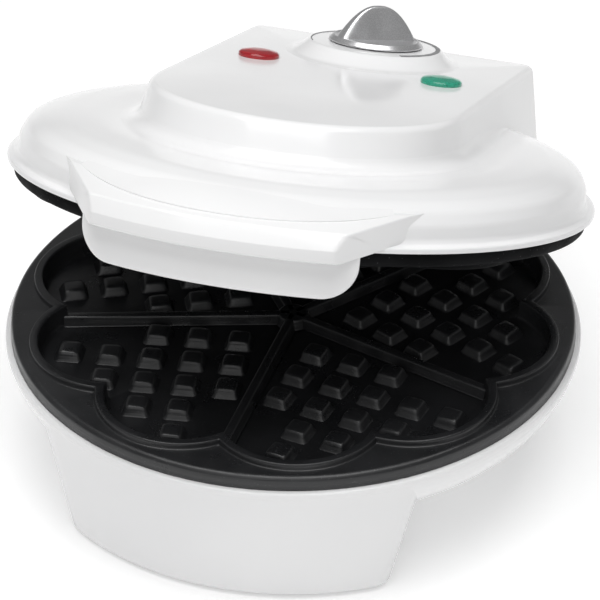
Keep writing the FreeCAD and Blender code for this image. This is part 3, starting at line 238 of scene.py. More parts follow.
def non_stick_coat(name, tone, gloss, shine):
    """Dark grey coat of a tone, darkened as painted shade for the upper plate: specks in the colour, pebbles
    and flow marks in the relief.
    """
    material, tree, shader, place = new_finish(name)
    specks = tree.nodes.new("ShaderNodeMath")
    specks.operation = "LESS_THAN"
    specks.inputs[1].default_value = SPECK_SIZE
    tree.links.new(cells(tree, place, 700.0), specks.inputs[0])
    dark = (0.62 * tone, 0.64 * tone, 0.69 * tone)
    light = (tone, 1.02 * tone, 1.1 * tone)
    ground = tint(tree, grain(tree, place, 60.0, 4.0), dark, light)
    mix = tree.nodes.new("ShaderNodeMix")
    mix.data_type = "RGBA"
    mix.inputs["B"].default_value = (0.05, 0.05, 0.052, 1.0)
    tree.links.new(specks.outputs[0], mix.inputs["Factor"])
    tree.links.new(ground, mix.inputs["A"])
    rough = spread(tree, grain(tree, place, 90.0, 3.0), *gloss)
    flow = relief(tree, grain(tree, place, 45.0, 3.0, (1.0, 1.0, 16.0)), 0.00014)
    pebbles = relief(tree, grain(tree, place, 1300.0, 2.0), 0.00002, flow)
    join(tree, shader, mix.outputs["Result"], rough, pebbles)
    shader.inputs["Specular IOR Level"].default_value = shine
    return material


LOWER_COAT = non_stick_coat("lower_coat", 0.021, (0.26, 0.38), 0.54)
# The upper coat's darker tone and weaker shine are painted shade. It is the same coat as the lower one.
SHADED_UPPER_COAT = non_stick_coat("upper_coat_painted_shade", 0.008, (0.55, 0.68), 0.04)
print("finishes", LOWER_COAT.name, SHADED_UPPER_COAT.name)

# %% [markdown]
# The knob is a plastic moulding with satin silver paint. The paint's flakes lie at slightly
# different angles, which shows as a fine sparkle, so small cells drive both colour and relief.

# %% Satin silver


def satin_silver():
    """Metallic paint whose flakes vary in tone and tilt."""
    material, tree, shader, place = new_finish("satin_silver")
    flakes = cells(tree, place, 2600.0)
    colour = tint(tree, flakes, (0.63, 0.63, 0.64), (0.74, 0.74, 0.75))
    rough = spread(tree, grain(tree, place, 200.0), 0.28, 0.36)
    join(tree, shader, colour, rough, relief(tree, flakes, 0.000006))
    shader.inputs["Metallic"].default_value = 0.85
    return material


SILVER = satin_silver()
RED_DYE = dressed("red_dye", (0.50, 0.02, 0.03), (0.62, 0.04, 0.05), 160.0, (0.05, 0.1), 500.0, 0.00002,
                  IOR=1.5, Transmission_Weight=0.6)
GREEN_DYE = dressed("green_dye", (0.04, 0.46, 0.30), (0.07, 0.58, 0.39), 160.0, (0.05, 0.1), 500.0, 0.00002,
                    IOR=1.5, Transmission_Weight=0.6)
SCALE_INK = dressed("scale_ink", (0.20, 0.20, 0.205), (0.27, 0.27, 0.275), 300.0, (0.4, 0.55), 900.0, 0.00001)
print("finishes", SILVER.name, RED_DYE.name, GREEN_DYE.name, SCALE_INK.name)

# %% [markdown]
# The hidden pieces keep their solids, but a part is turned over and opened by whoever uses it,
# so each of them gets a finish of its own too: plated steel, brass, rubber, sheet and so on.

# %% Finishes of the carried-over solids
ZINC = dressed("zinc_plate", (0.45, 0.45, 0.47), (0.62, 0.62, 0.63), 250.0, (0.22, 0.4), 1400.0, 0.00001,
               Metallic=1.0)
BRASS = dressed("turned_brass", (0.52, 0.36, 0.13), (0.68, 0.49, 0.2), 220.0, (0.2, 0.34), 1500.0, 0.00001,
                stretch=(6.0, 1.0, 1.0), Metallic=1.0)
TINTED_TUBE = dressed("tinted_tube", (0.16, 0.14, 0.12), (0.34, 0.32, 0.31), 70.0, (0.35, 0.55),
                      900.0, 0.00002, Metallic=0.9)
BRIGHT_SHEET = dressed("bright_sheet", (0.72, 0.72, 0.73), (0.84, 0.84, 0.85), 60.0, (0.16, 0.3),
                       800.0, 0.00002, stretch=(1.0, 12.0, 1.0), Metallic=1.0)
FOOT_RUBBER = dressed("foot_rubber", (0.016, 0.016, 0.016), (0.032, 0.032, 0.032), 260.0, (0.7, 0.9),
                      1200.0, 0.00004)
BUSH_RUBBER = dressed("bush_rubber", (0.66, 0.66, 0.66), (0.76, 0.76, 0.75), 160.0, (0.5, 0.65),
                      900.0, 0.00003)
GREY_MOULDING = dressed("grey_moulding", (0.24, 0.24, 0.245), (0.31, 0.31, 0.315), 90.0, (0.45, 0.6),
                        700.0, 0.00005)
PALE_MOULDING = dressed("pale_moulding", (0.62, 0.6, 0.54), (0.72, 0.7, 0.64), 180.0, (0.4, 0.55),
                        900.0, 0.00002)
BROWN_MOULDING = dressed("brown_moulding", (0.05, 0.033, 0.024), (0.09, 0.06, 0.045), 200.0, (0.4, 0.55),
                         900.0, 0.00002)
WOVEN_SLEEVE = dressed("woven_sleeve", (0.52, 0.49, 0.42), (0.7, 0.67, 0.6), 900.0, (0.7, 0.9),
                       2200.0, 0.00008)
BULB_GLASS = dressed("bulb_glass", (0.8, 0.76, 0.7), (0.9, 0.87, 0.82), 200.0, (0.04, 0.1), 400.0, 0.00002,
                     Transmission_Weight=0.8, IOR=1.47)

CARRIED_OVER = {
    ZINC: ("cover_screws", "lower_plate_screws", "reflector_screws", "thermostat_screws", "hinge_rod",
           "hinge_clips", "plate_clips", "knob_spring", "thermostat_shaft"),
    BRASS: ("thermal_fuse", "hinge_bushes", "thermostat_probe"),
    TINTED_TUBE: ("lower_heater", "upper_heater"),
    BRIGHT_SHEET: ("lower_reflector", "upper_reflector"),
    FOOT_RUBBER: ("rubber_feet",),
    BUSH_RUBBER: ("cord_gland",),
    GREY_MOULDING: ("base_cover",),
    PALE_MOULDING: ("terminal_block", "lamp_collars"),
    BROWN_MOULDING: ("thermostat_body",),
    WOVEN_SLEEVE: ("base_wiring", "lid_wiring"),
    BULB_GLASS: ("red_lamp", "green_lamp"),
}
for finish, names in CARRIED_OVER.items():
    for name in names:
        node = frame["nodes"][name]
        node.data.materials.clear()
        node.data.materials.append(finish)
print("carried over:", sum(len(names) for names in CARRIED_OVER.values()), "solids")

# %% [markdown]
# From arrays to skins.
# A skin is a grid of points: rows one way, columns the other. Joining each point to its neighbours
# gives four-sided faces, and a grid that closes on itself needs no seam. Several shells can make
# one piece. Points that meet at a pole are merged, and the faces are then turned outwards.

# %% Grids, profiles and pieces


def sheet_of(points, loop_rows=False, loop_columns=True):
    """Points and quads of a grid, closed along its rows or columns where asked."""
    rows, columns = points.shape[:2]
    index = np.arange(rows * columns).reshape(rows, columns)
    index = np.concatenate([index, index[:1]]) if loop_rows else index
    index = np.concatenate([index, index[:, :1]], 1) if loop_columns else index
    faces = np.stack([index[:-1, :-1], index[1:, :-1], index[1:, 1:], index[:-1, 1:]], -1)
    return points.reshape(-1, 3), faces.reshape(-1, 4)


def capped(grid):
    """A grid whose first and last rows are fanned to their own middles."""
    ends = [np.tile(grid[end].mean(0), (1, grid.shape[1], 1)) for end in (0, -1)]
    return sheet_of(np.concatenate([ends[0], grid, ends[1]]))


def eased(corners, radii, steps):
    """A closed profile with round corners. Each corner gives way to the conic through the two
    points that lie radius x tan(half the turn) before and after it, which is a circle's arc."""
    corner = np.array(corners, float)
    before = np.roll(corner, 1, 0) - corner
    after = np.roll(corner, -1, 0) - corner
    before /= np.linalg.norm(before, axis=1, keepdims=True)
    after /= np.linalg.norm(after, axis=1, keepdims=True)
    half_turn = np.arccos(np.clip(-(before * after).sum(1), -1, 1)) / 2
    reach = (np.array(radii, float) * np.tan(half_turn))[:, None, None]
    t = np.linspace(0, 1, steps)[None, :, None]
    first, middle, last = (1 - t) ** 2, 2 * t * (1 - t) * np.cos(half_turn)[:, None, None], t ** 2
    start, stop = corner[:, None] + before[:, None] * reach, corner[:, None] + after[:, None] * reach
    points = (first * start + middle * corner[:, None] + last * stop) / (first + middle + last)
    return points.reshape(-1, 2)


def shrunk(profile, inset):
    """A closed counter-clockwise profile moved inwards along its own normals."""
    along = np.roll(profile, -1, 0) - np.roll(profile, 1, 0)
    inward = np.stack([-along[:, 1], along[:, 0]], 1)
    return profile + inset * inward / np.maximum(np.linalg.norm(inward, axis=1, keepdims=True), 1e-9)


def tidy_profile(profile):
    """The same profile without repeated points, counter-clockwise."""
    profile = profile[np.linalg.norm(profile - np.roll(profile, 1, 0), axis=1) > 1e-6]
    x, y = profile.T
    turning = (x * np.roll(y, -1) - y * np.roll(x, -1)).sum()
    return profile if turning > 0 else profile[::-1]


def swept(start, knee, stop, steps):
    """Rows on the parabola (1 - t)^2 start + 2 t (1 - t) knee + t^2 stop."""
    t = np.linspace(0, 1, steps).reshape(-1, *[1] * np.ndim(stop))
    return (1 - t) ** 2 * start + 2 * t * (1 - t) * knee + t ** 2 * stop


def turned(profile, count, centre=(0.0, 0.0)):
    """A closed profile of (radius, height) carried round an upright axis."""
    angle = np.linspace(0, 2 * np.pi, count, endpoint=False)[:, None]
    radius, height = profile.T
    points = np.stack([centre[0] + radius * np.cos(angle), centre[1] + radius * np.sin(angle),
                       height + 0 * angle], -1)
    return sheet_of(points, True, True)


def bar_of(profile, start, stop, hub, ease=0.8):
    """A closed profile of (y, z) carried along X, with eased ends that are fanned to a hub."""
    profile = tidy_profile(profile)
    quarter = np.linspace(0, np.pi / 2, 4)
    back = ease * (1 - np.sin(quarter))
    inset = ease * (1 - np.cos(quarter))

    def row(x, i):
        return np.column_stack([np.full(len(profile), x), shrunk(profile, i)])

    near = [row(start + b, i) for b, i in zip(back[::-1], inset[::-1])]
    far = [row(stop - b, i) for b, i in zip(back, inset)]
    ends = [np.tile([end, *hub], (len(profile), 1)) for end in (start, stop)]
    return sheet_of(np.array([ends[0], *near, *far, ends[1]]))


WELD, SLIVER = 2e-6, 1e-6


def skin(name, shells, place, body, finish, stands_for=(), crease=38.0):
    """One piece made of shells: merged, turned outwards, smooth below the crease angle."""
    starts = np.cumsum([0] + [len(points) for points, faces in shells[:-1]])
    points = np.concatenate([points for points, faces in shells])
    faces = np.concatenate([faces + start for (_, faces), start in zip(shells, starts)]).astype(np.int32)
    mesh = bpy.data.meshes.new(name)
    mesh.vertices.add(len(points))
    mesh.vertices.foreach_set("co", place(points).astype(np.float32).ravel())
    mesh.loops.add(faces.size)
    mesh.loops.foreach_set("vertex_index", faces.ravel())
    mesh.polygons.add(len(faces))
    mesh.polygons.foreach_set("loop_start", np.arange(0, faces.size, 4, dtype=np.int32))
    mesh.update(calc_edges=True)
    form = bmesh.new()
    form.from_mesh(mesh)
    bmesh.ops.remove_doubles(form, verts=form.verts, dist=WELD)
    bmesh.ops.dissolve_degenerate(form, edges=form.edges, dist=SLIVER)
    loose = [edge for edge in form.edges if not edge.link_faces]
    bmesh.ops.delete(form, geom=loose, context="EDGES")
    bmesh.ops.recalc_face_normals(form, faces=form.faces)
    open_edges = sum(1 for edge in form.edges if not edge.is_manifold)
    form.to_mesh(mesh)
    form.free()
    mesh.polygons.foreach_set("use_smooth", np.ones(len(mesh.polygons), bool))
    mesh.set_sharp_from_angle(angle=math.radians(crease))
    mesh.materials.append(finish)
    piece = bpy.data.objects.new(name, mesh)
    bpy.context.scene.collection.objects.link(piece)
    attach(piece, body)
    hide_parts(*stands_for)
    print("%s: %d faces, %d open edges" % (name, len(mesh.polygons), open_edges))


print("shape helpers ready")

# %% [markdown]
# The base.
# The bowl that carries the lower plate is a turned part: its side is an arc that ends in a short
# upright band under the plate's edge. A profile carried round the axis gives it exactly.

# %% Bowl
ROUND_STEPS = 300
RIM_TOP, RIM_INSIDE = 45.0, 89.0
BOWL_FLOOR, BOWL_CEILING = 23.4, 26.0
BOWL_CENTRE, BOWL_CURVE = np.array([73.19, 46.98]), 21.8
BOWL_FROM, BOWL_TO = math.radians(-79), math.radians(-16)
BAND_FOOT, BAND_TOP = (94.15, 41.0), (94.8, 43.0)
RIM_EASE = 6

side = np.linspace(BOWL_FROM, BOWL_TO, 28)
bowl_side = BOWL_CENTRE + BOWL_CURVE * np.stack([np.cos(side), np.sin(side)], 1)
bowl_outside = np.concatenate([[(0, BOWL_FLOOR), (68.0, BOWL_FLOOR), (72.0, 24.1), (75.0, 24.9)], bowl_side])
# The first and the last corner only give the rim its direction, so they are cut off again.
rim = eased([(60, 40), BAND_FOOT, BAND_TOP, (BAND_TOP[0], RIM_TOP), (RIM_INSIDE, RIM_TOP),
             (RIM_INSIDE, BAND_FOOT[1])], [0, 0, 2.0, 1.1, 0.6, 0], RIM_EASE)[RIM_EASE:-RIM_EASE]
bowl_inside = [(88.0, 38.0), (84.0, 32.5), (76.0, 28.3), (70.0, BOWL_CEILING), (0, BOWL_CEILING)]
bowl_shell = turned(np.concatenate([bowl_outside, rim, bowl_inside]), ROUND_STEPS)


def under_bowl(radius):
    """Height of the bowl's outside at a distance from the axis."""
    profile = np.concatenate([bowl_outside, [BAND_FOOT, BAND_TOP]])
    return np.interp(radius, *profile.T)


print("bowl profile of", len(bowl_outside) + len(rim), "points")

# %% [markdown]
# The pedestal is round at the front and back, where it runs on from the bowl, and hollow at the
# sides. Each height has a closed loop of two arcs outwards and two inwards. Averaging neighbours
# along the loop rounds its four corners. The top of the wall follows the underside of the bowl
# and leans out into it with a small fillet.

# %% Pedestal
FOOT_EDGE, CORNER_INSET = 1.5, 1.2
FOOT_RADIUS, FOOT_RAKE = 89.9, 0.115
FOOT_CORNER, FOOT_WAIST, FOOT_LEAN = 53.6, 45.0, 0.24
FRONT_STEPS, SIDE_STEPS = 116, 146
LOOP = 2 * (FRONT_STEPS + SIDE_STEPS)
CORNER_SPAN = 3


def smoothed(values):
    """Each value of a loop averaged with its neighbours on both sides."""
    steps = range(-CORNER_SPAN, CORNER_SPAN + 1)
    return sum(np.roll(values, step, 1) for step in steps) / len(steps)


def pedestal_loop(height, inset):
    """Loop of points at a height for each column: the front is an arc of the foot's radius, the
    sides are arcs that dip to the waist, and all of them widen with the height."""
    rise = height - FOOT_EDGE
    front_share = np.linspace(-1, 1, FRONT_STEPS, endpoint=False)
    side_share = np.linspace(-1, 1, SIDE_STEPS, endpoint=False)
    radius = FOOT_RADIUS + FOOT_RAKE * rise - inset
    corner = FOOT_CORNER + FOOT_LEAN * rise - inset * CORNER_INSET
    waist = FOOT_WAIST + FOOT_LEAN * rise - inset
    deep = np.sqrt(radius ** 2 - corner ** 2)
    dip = corner - waist
    side_curve = (deep ** 2 + dip ** 2) / (2 * dip)
    split = np.cumsum([FRONT_STEPS, SIDE_STEPS, FRONT_STEPS])
    of_front, of_right, of_back, of_left = [slice(a, b) for a, b in zip([0, *split], [*split, None])]
    turn = np.arcsin(corner / radius)
    x, y = np.zeros_like(rise), np.zeros_like(rise)
    for part, sign in ((of_front, 1), (of_back, -1)):
        angle = turn[:, part] * front_share
        x[:, part] = sign * radius[:, part] * np.sin(angle)
        y[:, part] = -sign * radius[:, part] * np.cos(angle)
    for part, sign in ((of_right, 1), (of_left, -1)):
        along = deep[:, part] * side_share
        hollow = side_curve[:, part] - np.sqrt(side_curve[:, part] ** 2 - along ** 2)
        x[:, part] = sign * (waist[:, part] + hollow)
        y[:, part] = sign * along
    for _ in range(2):
        x, y = smoothed(x), smoothed(y)
    return np.stack([x, y, height], -1)


def level_loops(heights, insets):
    """Loops that each lie at one height, set in by a little."""
    return pedestal_loop(np.array(heights)[:, None] + np.zeros(LOOP), np.array(insets)[:, None])


print("pedestal loops of", LOOP, "points")

# %% Wall and fillet of the pedestal
PEDESTAL_WALL, PEDESTAL_TOP = 2.6, 24.5
EDGE_ROUND = 1.0
FILLET_SPAN, FILLET_REACH, FILLET_DROP = (60, 94), (3.6, 0.1), (4.7, 9.0)

# The height where wall and bowl meet depends on itself, so it is worked out again until it settles.
level = np.full((1, LOOP), 30.0)
for _ in range(8):
    meeting = pedestal_loop(level, 0.0)
    level = under_bowl(np.hypot(meeting[..., 0], meeting[..., 1]))
meeting = pedestal_loop(level, 0.0)[0]
distance = np.hypot(meeting[:, 0], meeting[:, 1])
reach, drop = [np.interp(distance, FILLET_SPAN, ends) for ends in (FILLET_REACH, FILLET_DROP)]
along = np.roll(meeting, -1, 0) - np.roll(meeting, 1, 0)
outward = np.stack([along[:, 1], -along[:, 0]], 1) / np.hypot(along[:, 0], along[:, 1])[:, None]
landing = meeting[:, :2] + outward * reach[:, None]
landing_high = under_bowl(np.hypot(landing[:, 0], landing[:, 1]))
wall_low, wall_high = FOOT_EDGE + EDGE_ROUND, meeting[:, 2] - drop
foot_rows = level_loops([FOOT_EDGE, FOOT_EDGE + 0.3], [EDGE_ROUND, 0.3])
wall_rows = pedestal_loop(wall_low + np.linspace(0, 1, 7)[:, None] * (wall_high - wall_low), 0.0)
fillet_rows = swept(wall_rows[-1], meeting, np.column_stack([landing, landing_high + 0.05]), 8)[1:]
inner_rows = level_loops([PEDESTAL_TOP, FOOT_EDGE], [PEDESTAL_WALL, PEDESTAL_WALL])
pedestal_shell = sheet_of(np.concatenate([foot_rows, wall_rows, fillet_rows, inner_rows]), True, True)
print("pedestal meets the bowl between", meeting[:, 2].min().round(1), "and", meeting[:, 2].max().round(1))

# %% [markdown]
# Two posts at the back carry the hinge rod. They are bars along the axis with a round head, so a
# profile in the Y-Z plane is carried along X and its ends are eased.

# %% Hinge posts and the base as a piece
KNUCKLE = 7.0
POST_WIDTH, POST_STARTS, POST_HUB = 12.0, (-36.0, 24.0), (97.5, 40.5)


def knuckle(first, last):
    """Arc of a knuckle about the hinge axis, in the Y-Z plane."""
    angle = np.linspace(first, last, 20)
    return (HINGE - AXIS)[1:] + KNUCKLE * np.stack([np.cos(angle), np.sin(angle)], 1)


post_profile = np.concatenate([
    [(71.9, 29.4), (91.5, 29.4), (95.5, 31.0), (106.4, 42.25), (107.4, 46.5)],
    knuckle(0, np.pi),
    [(94.0, 41.0), (71.9, 41.0)],
])
posts = [bar_of(post_profile, first, first + POST_WIDTH, POST_HUB) for first in POST_STARTS]
skin("base_housing", [bowl_shell, pedestal_shell, *posts], on_base, "base", WHITE,
     ("base_shell",))

# %% [markdown]
# The plates.
# Both plates are the same casting, one of them upside down. Seen from above, ten scallops make the
# round ends of five hearts. A scallop is an arc about a centre that lies off the axis, so its
# distance from the axis is c cos a + sqrt(R^2 - c^2 sin^2 a). Rows of the grid follow that line:
# from the upright edge over the overflow face and the dam down to the floor of the pan.

# %% Plate casting
SCALLOPS = 10
DAM_OUTSIDE, DAM_INSIDE = (89.0, 78.9), (86.0, 74.4)
OVERFLOW_EDGE = 90.6
PLATE_BACK, PAN_FLOOR, PAN_ROUND = -10.5, -5.0, 1.9
PLATE_STEPS = 720
plate_angle = np.linspace(0, 2 * np.pi, PLATE_STEPS, endpoint=False)


def scallop_line(middle, cusp):
    """Distance of the scalloped line from the axis, for each angle: the middle of a scallop and
    the cusp between two of them are given."""
    half = np.pi / SCALLOPS
    bulge = middle - cusp * math.cos(half)
    curve = ((cusp * math.sin(half)) ** 2 + bulge ** 2) / (2 * bulge)
    centre = middle - curve
    a = np.mod(plate_angle - np.pi / 2, 2 * half) - half
    return centre * np.cos(a) + np.sqrt(curve ** 2 - (centre * np.sin(a)) ** 2)


def plate_casting():
    """Rows of (distance, height) from the back over the edge, the dam and the pan to the axis."""
    ring = np.ones(PLATE_STEPS)
    outer, inner = scallop_line(*DAM_OUTSIDE), scallop_line(*DAM_INSIDE)
    edge = [(0.0, PLATE_BACK), (86.0, PLATE_BACK), (86.0, -5.0), (92.7, -5.0), (93.0, -4.7), (92.92, -2.6),
            (92.8, -1.5), (92.62, -0.95), (92.2, -0.45), (91.6, -0.15), (90.9, 0.0)]
    dam = [(0.55, 0.0), (0.3, 0.08), (0.1, 0.3), (0.0, 0.7), (-0.05, 1.4), (-0.15, 1.8), (-0.35, 2.03),
           (-0.6, 2.1)]
    pan = [(0.65, 2.1), (0.4, 2.03), (0.2, 1.8), (0.1, 1.4), (-0.4, -3.6), (-0.65, -4.3), (-1.1, -4.75),
           (-PAN_ROUND, PAN_FLOOR)]
    rows = [(radius * ring, height) for radius, height in edge]
    rows += [(np.minimum(outer + step, OVERFLOW_EDGE), height) for step, height in dam]
    rows += [(inner + step, height) for step, height in pan]
    rows += [((inner - PAN_ROUND) * share, PAN_FLOOR) for share in (0.75, 0.4, 0.0)]
    distance = np.array([radius for radius, height in rows])
    height = np.array([height for radius, height in rows])[:, None] * ring
    x, y = distance * np.cos(plate_angle), distance * np.sin(plate_angle)
    return sheet_of(np.stack([x, y, height], -1))


print("casting rows of", PLATE_STEPS, "points")

# %% [markdown]
# The pan has a ridge between each two hearts and a field of diamond pegs in every heart. A peg is a
# small square patch whose height falls off with a rounded square distance from its middle. One
# patch is worked out and then set down at all its places at once by adding arrays.

# %% Ridges and pegs
HEARTS = 5
RIDGE_ROOT, RIDGE_TOP, RIDGE_HUB = -5.6, -1.4, (0.0, -3.5)
RIDGE_START, RIDGE_STOP = 1.0, 75.6
PEG_REACH, PEG_ROOT = 6.2, -1.0
PEG_START, PEG_PITCH = 22.0, 9.5
heart_turns = 2 * np.pi / HEARTS * np.arange(HEARTS)


def about_axis(points, turns):
    """Copies of points turned about the plates' axis."""
    c, s = np.cos(turns)[:, None], np.sin(turns)[:, None]
    x, y, z = points.T
    return np.stack([c * x - s * y, s * x + c * y, z + 0 * c], -1)


def many(points, faces, places):
    """One shell for many copies of a small one; places holds all copies of its points."""
    starts = np.arange(len(places))[:, None, None] * len(points)
    return places.reshape(-1, 3), (faces + starts).reshape(-1, 4)


def ridge_bars():
    """A rounded ridge along a spoke, repeated for every heart."""
    across = eased([
        (-2.9, RIDGE_ROOT), (2.9, RIDGE_ROOT), (2.9, PAN_FLOOR), (2.25, PAN_FLOOR), (1.4, RIDGE_TOP),
        (-1.4, RIDGE_TOP), (-2.25, PAN_FLOOR), (-2.9, PAN_FLOOR),
    ], [0, 0, 0, 0.5, 0.9, 0.9, 0.5, 0], 5)
    points, faces = bar_of(across, RIDGE_START, RIDGE_STOP, RIDGE_HUB, 0.3)
    spoke = np.stack([points[:, 1], -points[:, 0], points[:, 2]], 1)
    return many(spoke, faces, about_axis(spoke, heart_turns))


def hub_cone():
    """The low cone where the ridges meet."""
    cone = eased([
        (0, RIDGE_ROOT), (6.9, RIDGE_ROOT), (6.9, PAN_FLOOR), (5.9, PAN_FLOOR), (5.0, RIDGE_TOP),
        (0, RIDGE_TOP),
    ], [0, 0, 0, 0.6, 1.0, 0], 5)
    return turned(cone, 60)


def heart_pegs():
    """A peg's height is level in its middle, rolls over an edge and runs down a drafted side. Distance
    from the middle is (|a|^7 + |b|^7)^(1/7). An upright skirt then goes down into the casting, and a
    flat sheet with the same outline closes it there."""
    steps = [0.4, 0.66, 0.74, 0.84, 0.98, 1.06, 1.16]
    heights = [3.2, 3.12, 2.85, 2.1, 0.35, 0.06, -0.4]
    half_line = np.array([*steps, steps[-1]])
    line = np.concatenate([-half_line[::-1], [0], half_line])
    a, b = np.meshgrid(line, line, indexing="ij")
    off_middle = (np.abs(a) ** 7 + np.abs(b) ** 7) ** (1 / 7)
    height = np.interp(off_middle, steps, heights)
    height[[0, -1]] = height[:, [0, -1]] = PEG_ROOT
    top = np.stack([(a - b) * PEG_REACH / 2, (a + b) * PEG_REACH / 2, PAN_FLOOR + height], -1)
    under = top * [1, 1, 0] + [0, 0, PAN_FLOOR + PEG_ROOT]
    patch, faces = sheet_of(top, False, False)
    floor, floor_faces = sheet_of(under[::-1], False, False)
    points, all_faces = np.concatenate([patch, floor]), np.concatenate([faces, floor_faces + len(patch)])
    rows = [(0,), (-1, 1), (-2, 0, 2), (-1, 1), (-2, 0, 2), (-3, -1, 1, 3)]
    spots = np.array([(PEG_PITCH * column, PEG_START + PEG_PITCH * row, 0)
                      for row, columns in enumerate(rows) for column in columns])
    one_heart = (points + spots[:, None]).reshape(-1, 3)
    places = about_axis(one_heart, heart_turns).reshape(-1, len(points), 3)
    return many(points, all_faces, places)


plate_shells = [plate_casting(), ridge_bars(), hub_cone(), heart_pegs()]
print("pegs and ridges:", [len(faces) for points, faces in plate_shells])

# %% The two plates as pieces
LOWER_FACE, UPPER_FACE = 50.0, 54.5
PLATE_CREASE = 50.0
skin("lower_baking_plate", plate_shells, lambda points: on_base(points + [0, 0, LOWER_FACE]), "base",
     LOWER_COAT, ("lower_plate",), PLATE_CREASE)
skin("upper_baking_plate", plate_shells, lambda points: on_lid(points * [-1, 1, -1] + [0, 0, UPPER_FACE]),
     "lid", SHADED_UPPER_COAT, ("upper_plate",), PLATE_CREASE)

# %% [markdown]
# The lid.
# The lid is one moulding with four forms that run into each other: a low dome with a thin flange, a
# control box with a round front, a grip at the front and a mound for the dial. The dome is turned.

# %% Dome with its flange
LID_LOW, LID_EDGE, DOME_TOP, CROWN_FROM = 59.5, 95.28, 75.6, 67.5
DOME_EASE = 8

# The first and the last corner only close the profile on the axis, so they are cut off again.
dome_outside = eased([
    (0, 60), (89.0, LID_LOW), (LID_EDGE, LID_LOW), (LID_EDGE, 61.2), (93.0, 61.9), (92.2, 63.2), (91.9, 67.2),
    (89.8, 71.2), (86.2, 73.3), (79.0, 75.0), (68.0, 75.7), (57.0, DOME_TOP), (0, DOME_TOP), (0, 74),
], [0, 0.4, 0.5, 0.7, 1.5, 2.5, 5.0, 4.5, 12.0, 30.0, 60.0, 60.0, 0, 0], DOME_EASE)[DOME_EASE:-DOME_EASE]
dome_inside = [(0, 72.0), (57.0, 72.5), (85.0, 68.6), (89.0, 66.0)]
dome_shell = turned(np.concatenate([dome_outside, dome_inside]), ROUND_STEPS)
crown = dome_outside[dome_outside[:, 1] > CROWN_FROM][::-1]


def over_dome(radius):
    """Height of the dome's outside at a distance from the axis."""
    return np.interp(radius, *crown[np.argsort(crown[:, 0])].T)


print("dome profile of", len(dome_outside), "points")

# %% [markdown]
# The control box has straight sides, a round front and small back corners, and it widens on its
# way down. Each row of its skin is that outline at one height. Over the edge of the panel the rows
# move inwards along a quarter circle; at the bottom they turn round the wall into a hollow skirt.

# %% Control box
PANEL, SKIRT = 88.7, 61.0
BOX_WALL, BOX_CEILING, PANEL_EDGE = 2.6, 67.3, 2.0
BOX_HALF, BOX_DRAFT, BOX_BACK = 51.0, 0.18, 109.8
BOX_CORNER, LEAST_CORNER = 5.0, 0.6
NOSE_ALONG, NOSE_DRAFT = -2.0, 0.26
NOSE_STEPS, BOX_SIDE_STEPS, BACK_CORNER_STEPS, BACK_STEPS = 110, 56, 9, 24
BOX_MIDDLE = np.array([0.0, 45.0])


def outline_weights():
    """How much of the half width, the back corner and the nose each column takes, in X and in Y."""
    front = np.linspace(0, np.pi, NOSE_STEPS, endpoint=False)
    side = np.linspace(0, 1, BOX_SIDE_STEPS, endpoint=False)
    bend = np.linspace(0, np.pi / 2, BACK_CORNER_STEPS, endpoint=False)
    across = np.linspace(1, -1, BACK_STEPS, endpoint=False)
    half_x = [-np.cos(front), side * 0 + 1, bend * 0 + 1, across, bend * 0 - 1, side * 0 - 1]
    corner_x = [front * 0, side * 0, np.cos(bend) - 1, -across, 1 - np.sin(bend), side * 0]
    nose_y = [front * 0 + 1, 1 - side, bend * 0, across * 0, bend * 0, side]
    corner_y = [front * 0, -side, np.sin(bend) - 1, across * 0, np.cos(bend) - 1, side - 1]
    half_y = [-np.sin(front), side * 0, bend * 0, across * 0, bend * 0, side * 0]
    return [np.concatenate(weight) for weight in (half_x, corner_x, nose_y, corner_y, half_y)]


HALF_X, CORNER_X, NOSE_Y, CORNER_Y, HALF_Y = outline_weights()


def box_outline(height, inset):
    """Outline for each row: half width and nose grow with the depth below the panel."""
    depth = PANEL - height
    half = BOX_HALF + BOX_DRAFT * depth - inset
    nose = NOSE_ALONG - NOSE_DRAFT * depth
    back = BOX_BACK - inset
    corner = np.maximum(BOX_CORNER - inset, LEAST_CORNER)
    x = half * HALF_X + corner * CORNER_X
    y = nose * NOSE_Y + back * (1 - NOSE_Y) + corner * CORNER_Y + half * HALF_Y
    return np.stack([x, y, height + 0 * x], -1)


def to_middle(row, share, height):
    """A row drawn in towards the middle of the box at a height."""
    plan = BOX_MIDDLE + (row[..., :2] - BOX_MIDDLE) * share
    return np.concatenate([plan, np.full((*plan.shape[:-1], 1), height)], -1)


quarter = np.linspace(0, np.pi / 2, 7)[:, None]
edge_rows = box_outline(PANEL - PANEL_EDGE * (1 - np.cos(quarter)), PANEL_EDGE * (1 - np.sin(quarter)))
side_rows = box_outline(np.linspace(PANEL - PANEL_EDGE, SKIRT + 0.7, 6)[1:, None], np.zeros((5, 1)))
hem_rows = box_outline(np.array([[SKIRT + 0.2], [SKIRT], [SKIRT], [SKIRT + 0.3], [BOX_CEILING]]),
                       np.array([[0.2], [0.7], [BOX_WALL - 0.5], [BOX_WALL], [BOX_WALL]]))
panel_rows = np.concatenate([to_middle(edge_rows[:1], share, PANEL) for share in (0.0, 0.5)])
box_shell = sheet_of(np.concatenate([panel_rows, edge_rows, side_rows, hem_rows,
                                     to_middle(hem_rows[-1:], 0.0, BOX_CEILING)]))
print("box rows of", edge_rows.shape[1], "points")

# %% [markdown]
# Where the box stands on the dome the moulding has a soft root. It is a thin strip along the foot of
# the wall, hollow like a cove, that ends level with the dome. It fades out where the box reaches
# the edge of the dome.

# %% Cove at the foot of the box
COVE, COVE_RISE, COVE_SINK = 5.0, 0.8, 1.5
COVE_SIDE, COVE_FADE = 38, 26.0
columns = np.r_[-COVE_SIDE:0, 0:NOSE_STEPS + COVE_SIDE]
